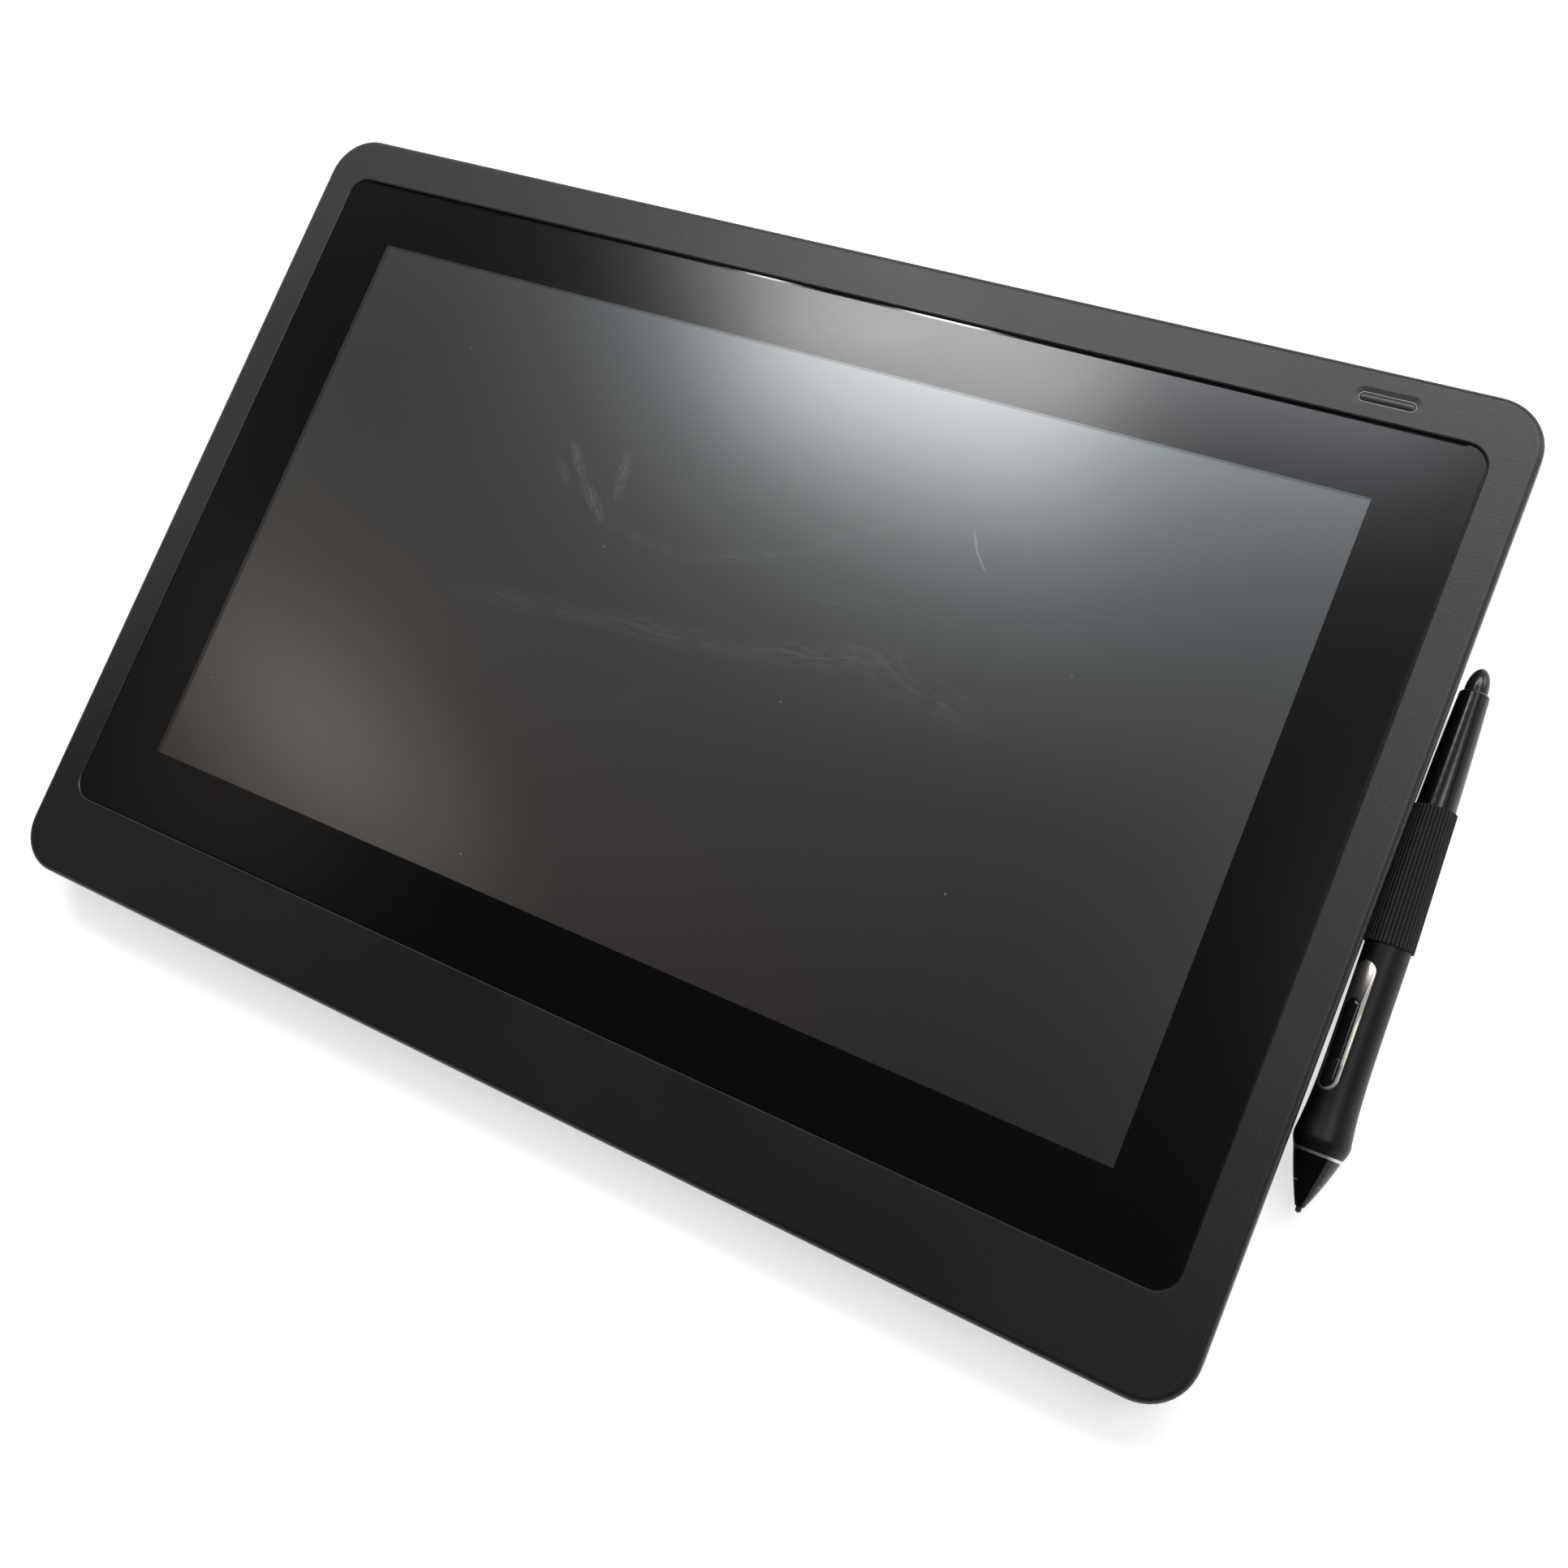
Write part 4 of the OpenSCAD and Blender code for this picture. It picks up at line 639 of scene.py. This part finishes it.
# Silver trim of the pen: a stamped stainless frame round the switch with a plain plate behind it, and a ring.
# The steel is brushed along the pen, warm in tone, with softened edges that catch the light.
flare_r, flare_len, flare_power = 7.4 * mm, 9 * mm, 1.15
crest_s = 20 * mm
trim_turn = math.radians(38)
frame_s0, frame_s1 = 32 * mm, 68 * mm
frame_w = 6.4 * mm
rim_w = 0.9 * mm
plate_s = 57.4 * mm
frame_sink = 0.5 * mm
frame_proud, frame_soft = 0.16 * mm, 0.16 * mm
round_steps, side_steps = 14, 24
crease = math.radians(50)


def grip_radius(along):
    """Radius of the grip behind its flare."""
    return grip_r + (flare_r - grip_r) * math.exp(-((along - crest_s) / flare_len) ** flare_power)


def on_pen(across, along, rise):
    """A point over the grip: across the switch's own middle line, along the pen, and above the grip."""
    radius = grip_radius(along) + rise
    down = -math.sqrt(radius ** 2 - across ** 2)
    return pen_place @ (Matrix.Rotation(-trim_turn, 4, "Z") @ Vector((across, down, along)))


def pill_points(width, start, stop):
    """Outline of a pill on the pen, as (across, along), with as many points for any length."""
    radius = width / 2
    straight = stop - start - 2 * radius
    points = []
    for centre, first in ((stop - radius, 0), (start + radius, 180)):
        for i in range(round_steps + 1):
            angle = math.radians(first + 180 * i / round_steps)
            points.append((radius * math.cos(angle), centre + radius * math.sin(angle)))
    near = [(-radius, stop - radius - straight * i / side_steps) for i in range(1, side_steps)]
    far = [(radius, start + radius + straight * i / side_steps) for i in range(1, side_steps)]
    half = round_steps + 1
    return points[:half] + near + points[half:] + far


def brushed_steel(name, dark, light, rough):
    """Steel brushed along the pen, with 0.1 mm lines drawn 0.2 mm wide so that they show."""
    material, tree, place = new_material(name)
    turned = add(tree, "ShaderNodeMapping", {
        "Vector": place, "Rotation": (0, 0, pen_yaw),
        "Scale": (1 / (0.2 * mm), 1 / (9 * mm), 1 / (0.2 * mm))})
    lines = add(tree, "ShaderNodeTexNoise", {"Vector": turned.outputs[0], "Scale": 1.0, "Detail": 2.0})
    colour = add(tree, "ShaderNodeMix", {
        0: lines.outputs[0], 6: linear(dark), 7: linear(light)}, data_type="RGBA")
    gloss = add(tree, "ShaderNodeMapRange", {
        0: lines.outputs[0], 1: noise_low, 2: noise_high, 3: rough, 4: rough + 0.06})
    bump = add(tree, "ShaderNodeBump", {"Height": lines.outputs[0], "Distance": 0.0006 * mm, "Strength": 1.0})
    shader = add(tree, "ShaderNodeBsdfPrincipled", {
        "Base Color": colour.outputs[2], "Roughness": gloss.outputs[0], "Normal": bump.outputs[0],
        "Metallic": 1.0})
    add(tree, "ShaderNodeOutputMaterial", {"Surface": shader.outputs[0]})
    return material


def make_switch_frame(material):
    """The frame: rings of points from its outer edge over the top to the edge of its opening."""
    outer = pill_points(frame_w, frame_s0, frame_s1)
    inner = pill_points(frame_w - 2 * rim_w, frame_s0 + rim_w, plate_s)
    mesh = bmesh.new()
    # Steps over one softened edge: how far in from the edge, and the height.
    part = 0.3 * frame_soft
    steps = [(0.0, -frame_sink), (0.0, frame_proud - frame_soft), (part, frame_proud - part),
             (frame_soft, frame_proud)]
    over_edges = [("outer", *step) for step in steps] + [("inner", *step) for step in reversed(steps)]
    rings = []
    for edge, into, rise in over_edges:
        ring = []
        for outside, inside in zip(outer, inner):
            outside, inside = Vector(outside), Vector(inside)
            way = (inside - outside).normalized()
            spot = outside + way * into if edge == "outer" else inside - way * into
            ring.append(mesh.verts.new(on_pen(spot.x, spot.y, rise)))
        rings.append(ring)
    for lower, upper in zip(rings, rings[1:] + rings[:1]):
        for face in join_loops(mesh, lower, upper):
            face.smooth = True
    bmesh.ops.recalc_face_normals(mesh, faces=mesh.faces)
    piece = piece_from("stamped_switch_frame", mesh, material)
    piece.data.set_sharp_from_angle(angle=crease)
    return piece


warm_steel = brushed_steel("brushed_stainless_steel", "#d2ccc1", "#dcd7cd", 0.34)
switch_frame = make_switch_frame(warm_steel)
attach(switch_frame, "pen")
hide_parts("switch_frame")
dress(warm_steel, "pen_ring")

# Side switch: a rocker of gloss ABS in the frame, two crowned pads with a groove over the pivot.
# It tips on the pivot, so a thin gap runs all round it.
pad_w = 4.3 * mm
pad_s0, pad_s1 = 33.05 * mm, 57.25 * mm
pivot_s = 41 * mm
pad_rise = 0.78 * mm
pad_edge = 0.12 * mm
pad_sink = 0.9 * mm
groove, groove_half = 0.28 * mm, 0.3 * mm
crown_fall, crown_power = 0.22, 2.4
pad_rows, pad_columns = 96, 16


def pad_height(across, along):
    """Height of the rocker over the grip: crowned across and along, lower at the pivot's groove."""
    side = min(1.0, abs(across) / (pad_w / 2))
    start, stop = (pad_s0, pivot_s) if along < pivot_s else (pivot_s, pad_s1)
    middle = (along - (start + stop) / 2) / ((stop - start) / 2)
    crown = 1 - crown_fall * middle ** 2
    dip = groove * max(0.0, 1 - abs(along - pivot_s) / groove_half)
    return pad_edge + (pad_rise - pad_edge) * crown * math.sqrt(max(0.0, 1 - side ** crown_power)) - dip


def make_side_switch(material):
    """The rocker: cross rows of points along the pill, closed by a wall that goes down into the pen."""
    mesh = bmesh.new()
    radius = pad_w / 2
    stations = []
    for i in range(pad_rows + 1):
        stations.append(pad_s0 + (pad_s1 - pad_s0) * (1 - math.cos(math.pi * i / pad_rows)) / 2)
    stations += [pivot_s + groove_half * k / 3 for k in range(-4, 5)]
    stations = sorted(stations)[1:-1]
    rows = []
    for along in stations:
        into = min(along - pad_s0, pad_s1 - along, radius)
        half = math.sqrt(max(radius ** 2 - (radius - into) ** 2, 0.0))
        end = math.sqrt(max(0.0, 1 - (1 - into / radius) ** 4))
        row = []
        for j in range(pad_columns + 1):
            side = math.sin(math.pi / 2 * (2 * j / pad_columns - 1))
            rise = pad_edge + (pad_height(side * radius, along) - pad_edge) * end
            row.append(mesh.verts.new(on_pen(side * half, along, rise)))
        rows.append(row)
    for near, far in zip(rows, rows[1:]):
        for j in range(pad_columns):
            mesh.faces.new((near[j], near[j + 1], far[j + 1], far[j])).smooth = True
    left, right = [row[0] for row in rows], [row[-1] for row in rows]
    edge = left + rows[-1][1:-1] + right[::-1] + rows[0][-2:0:-1]
    back = pen_place @ Vector((0, 0, (pad_s0 + pad_s1) / 2))
    up = (on_pen(0, pivot_s, 0) - pen_place @ Vector((0, 0, pivot_s))).normalized()
    floor = (grip_r - pad_sink) * 0.9
    skirt = [mesh.verts.new(v.co - up * ((v.co - back).dot(up) - floor)) for v in edge]
    for face in join_loops(mesh, edge, skirt):
        face.smooth = True
    mesh.faces.new(skirt)
    bmesh.ops.recalc_face_normals(mesh, faces=mesh.faces)
    piece = piece_from("rocker_side_switch", mesh, material)
    piece.data.set_sharp_from_angle(angle=crease)
    return piece


rocker_abs = speckled(
    "polished_rocker_abs", "#0e0e10", "#141416", 10 * mm, 1.2 * mm, 0.0015 * mm, (0.14, 0.22))
side_switch = make_side_switch(rocker_abs)
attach(side_switch, "side_switch")
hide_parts("side_switch")

# Studio: a sweep of white paper under and round the object. It glows a little for the camera and in
# reflections, so that it renders white, and it keeps the object's soft shadow.
disc_r, sweep_r = 0.6, 3.0
wall_r, wall_h = 1.2, 2.0
sweep_sides, wall_steps = 96, 12
sweep_glow = 0.65


def make_sweep():
    """A round floor whose rim curves up into a low wall."""
    mesh = bmesh.new()
    profile = [(disc_r, 0.0), (sweep_r, 0.0)]
    for i in range(1, wall_steps + 1):
        angle = math.radians(90 * i / wall_steps)
        profile.append((sweep_r + wall_r * math.sin(angle), wall_r * (1 - math.cos(angle))))
    profile.append((sweep_r + wall_r, wall_h))
    rings = []
    turns = [2 * math.pi * k / sweep_sides for k in range(sweep_sides)]
    for radius, height in profile:
        ring = [Vector((radius * math.cos(turn), radius * math.sin(turn), height)) for turn in turns]
        rings.append(add_loop(mesh, ring))
    mesh.faces.new(rings[0])
    for lower, upper in zip(rings, rings[1:]):
        for face in join_loops(mesh, upper, lower):
            face.smooth = True
    return mesh


def sweep_paper(name):
    """Matte white paper with a faint tooth."""
    material, tree, place = new_material(name)
    tooth = add(tree, "ShaderNodeTexNoise", {"Vector": place, "Scale": 1 / (2 * mm), "Detail": 2.0})
    colour = add(tree, "ShaderNodeMix", {
        0: tooth.outputs[0], 6: linear("#f0f0ef"), 7: linear("#f4f4f3")}, data_type="RGBA")
    paper = add(tree, "ShaderNodeBsdfDiffuse", {"Color": colour.outputs[2]})
    path = add(tree, "ShaderNodeLightPath")
    seen = add(tree, "ShaderNodeMath", {
        0: path.outputs["Is Camera Ray"], 1: path.outputs["Is Glossy Ray"]}, operation="MAXIMUM")
    shown = add(tree, "ShaderNodeMath", {
        0: seen.outputs[0], 1: path.outputs["Is Transmission Ray"]}, operation="MAXIMUM")
    level = add(tree, "ShaderNodeMath", {0: shown.outputs[0], 1: sweep_glow}, operation="MULTIPLY")
    glow = add(tree, "ShaderNodeEmission", {"Strength": level.outputs[0]})
    both = add(tree, "ShaderNodeAddShader", {0: paper.outputs[0], 1: glow.outputs[0]})
    add(tree, "ShaderNodeOutputMaterial", {"Surface": both.outputs[0]})
    return material


sweep = piece_from("white_sweep", make_sweep(), sweep_paper("matte_white_paper"))

# Lights: a panel and a lamp whose gleam lies on the top of the screen, and two small lamps farther behind
# that glint on the bevel of the glass. Soft boxes behind and at the left brush the bezel, three lamps at
# the right shape the pen and the side, and a weak warm one fills the left. The room itself is dim.
pen_middle = (0.22, 0.02, 0)
room_level = 0.04


def panel(name, place, size, radiance, code, aim=None):
    """A rectangular lamp, given by how bright its face looks. It faces down, or towards a point."""
    lamp = bpy.data.lights.new(name, "AREA")
    lamp.shape = "RECTANGLE"
    lamp.size, lamp.size_y = size
    lamp.energy = radiance * math.pi * size[0] * size[1]
    lamp.color = linear(code)[:3]
    holder = bpy.data.objects.new(name, lamp)
    holder.location = place
    if aim:
        holder.rotation_euler = (Vector(aim) - Vector(place)).to_track_quat("-Z", "Y").to_euler()
    bpy.context.scene.collection.objects.link(holder)


panel("screen_panel", (-0.37, 0.775, 1.2), (0.91, 0.3), 5.5, "#f0f6ff")
panel("screen_lamp", (-0.46, 0.635, 1.18), (0.42, 0.28), 10.6, "#fdfcfa")
panel("edge_lamp_left", (-0.935, 1.435, 1.2), (0.05, 0.15), 22.0, "#ffffff", aim=(0, 0.12, 0))
panel("edge_lamp_right", (-0.64, 1.435, 1.2), (0.11, 0.18), 26.0, "#ffffff", aim=(0, 0.12, 0))
panel("rear_box", (0.1, 1.05, 1.24), (0.3, 0.42), 8.4, "#ffffff", aim=(0, 0, 0))
panel("right_box", (0.55, 0.95, 1.2), (0.5, 0.45), 8.6, "#ffffff", aim=(0, 0, 0))
panel("left_rear_box", (-1.65, 0.95, 0.95), (0.4, 0.4), 3.8, "#fffaf4", aim=(0, 0, 0))
panel("left_box", (-1.9, 0.3, 1.0), (0.4, 0.4), 5.2, "#fff4e8", aim=(0, 0, 0))
panel("pen_strip", (0.5, 0.24, 1.1), (0.2, 0.5), 6.6, "#ffffff", aim=pen_middle)
panel("pen_panel", (0.85, 0.22, 0.95), (0.5, 0.5), 0.6, "#ffffff", aim=pen_middle)
panel("side_panel", (1.1, 0.88, 0.5), (0.5, 0.5), 3.6, "#ffffff", aim=(0.22, 0.1, 0))
panel("warm_panel", (-1.1, -0.06, 1.2), (0.36, 0.42), 0.35, "#ffeedd")

world = bpy.data.worlds.new("dim_room")
bpy.context.scene.world = world
world.use_nodes = True
world.node_tree.nodes.clear()
sky = add(world.node_tree, "ShaderNodeBackground", {"Color": linear("#f2f4f6"), "Strength": room_level})
add(world.node_tree, "ShaderNodeOutputWorld", {"Surface": sky.outputs[0]})

# Camera: stands over the right side and looks down to the left, as the photograph was taken.
# Its place, its turn and its lens were fitted to the corners of the case, the glass and the window.
camera_place = Vector((220.874, -69.513, 463.639)) * mm
camera_right = Vector((0.8707016, 0.3823365, -0.3093503))
camera_up = Vector((-0.3247032, 0.9193197, 0.2223041))
camera_back = camera_right.cross(camera_up)
lens = bpy.data.cameras.new("photo_camera")
lens.sensor_width = 36.0
lens.lens = 36.822
lens.clip_start = 0.01
camera = bpy.data.objects.new("photo_camera", lens)
camera.matrix_world = Matrix((camera_right, camera_up, camera_back)).transposed().to_4x4()
camera.location = camera_place
bpy.context.scene.collection.objects.link(camera)
bpy.context.scene.camera = camera
bpy.context.scene.view_settings.view_transform = "Standard"
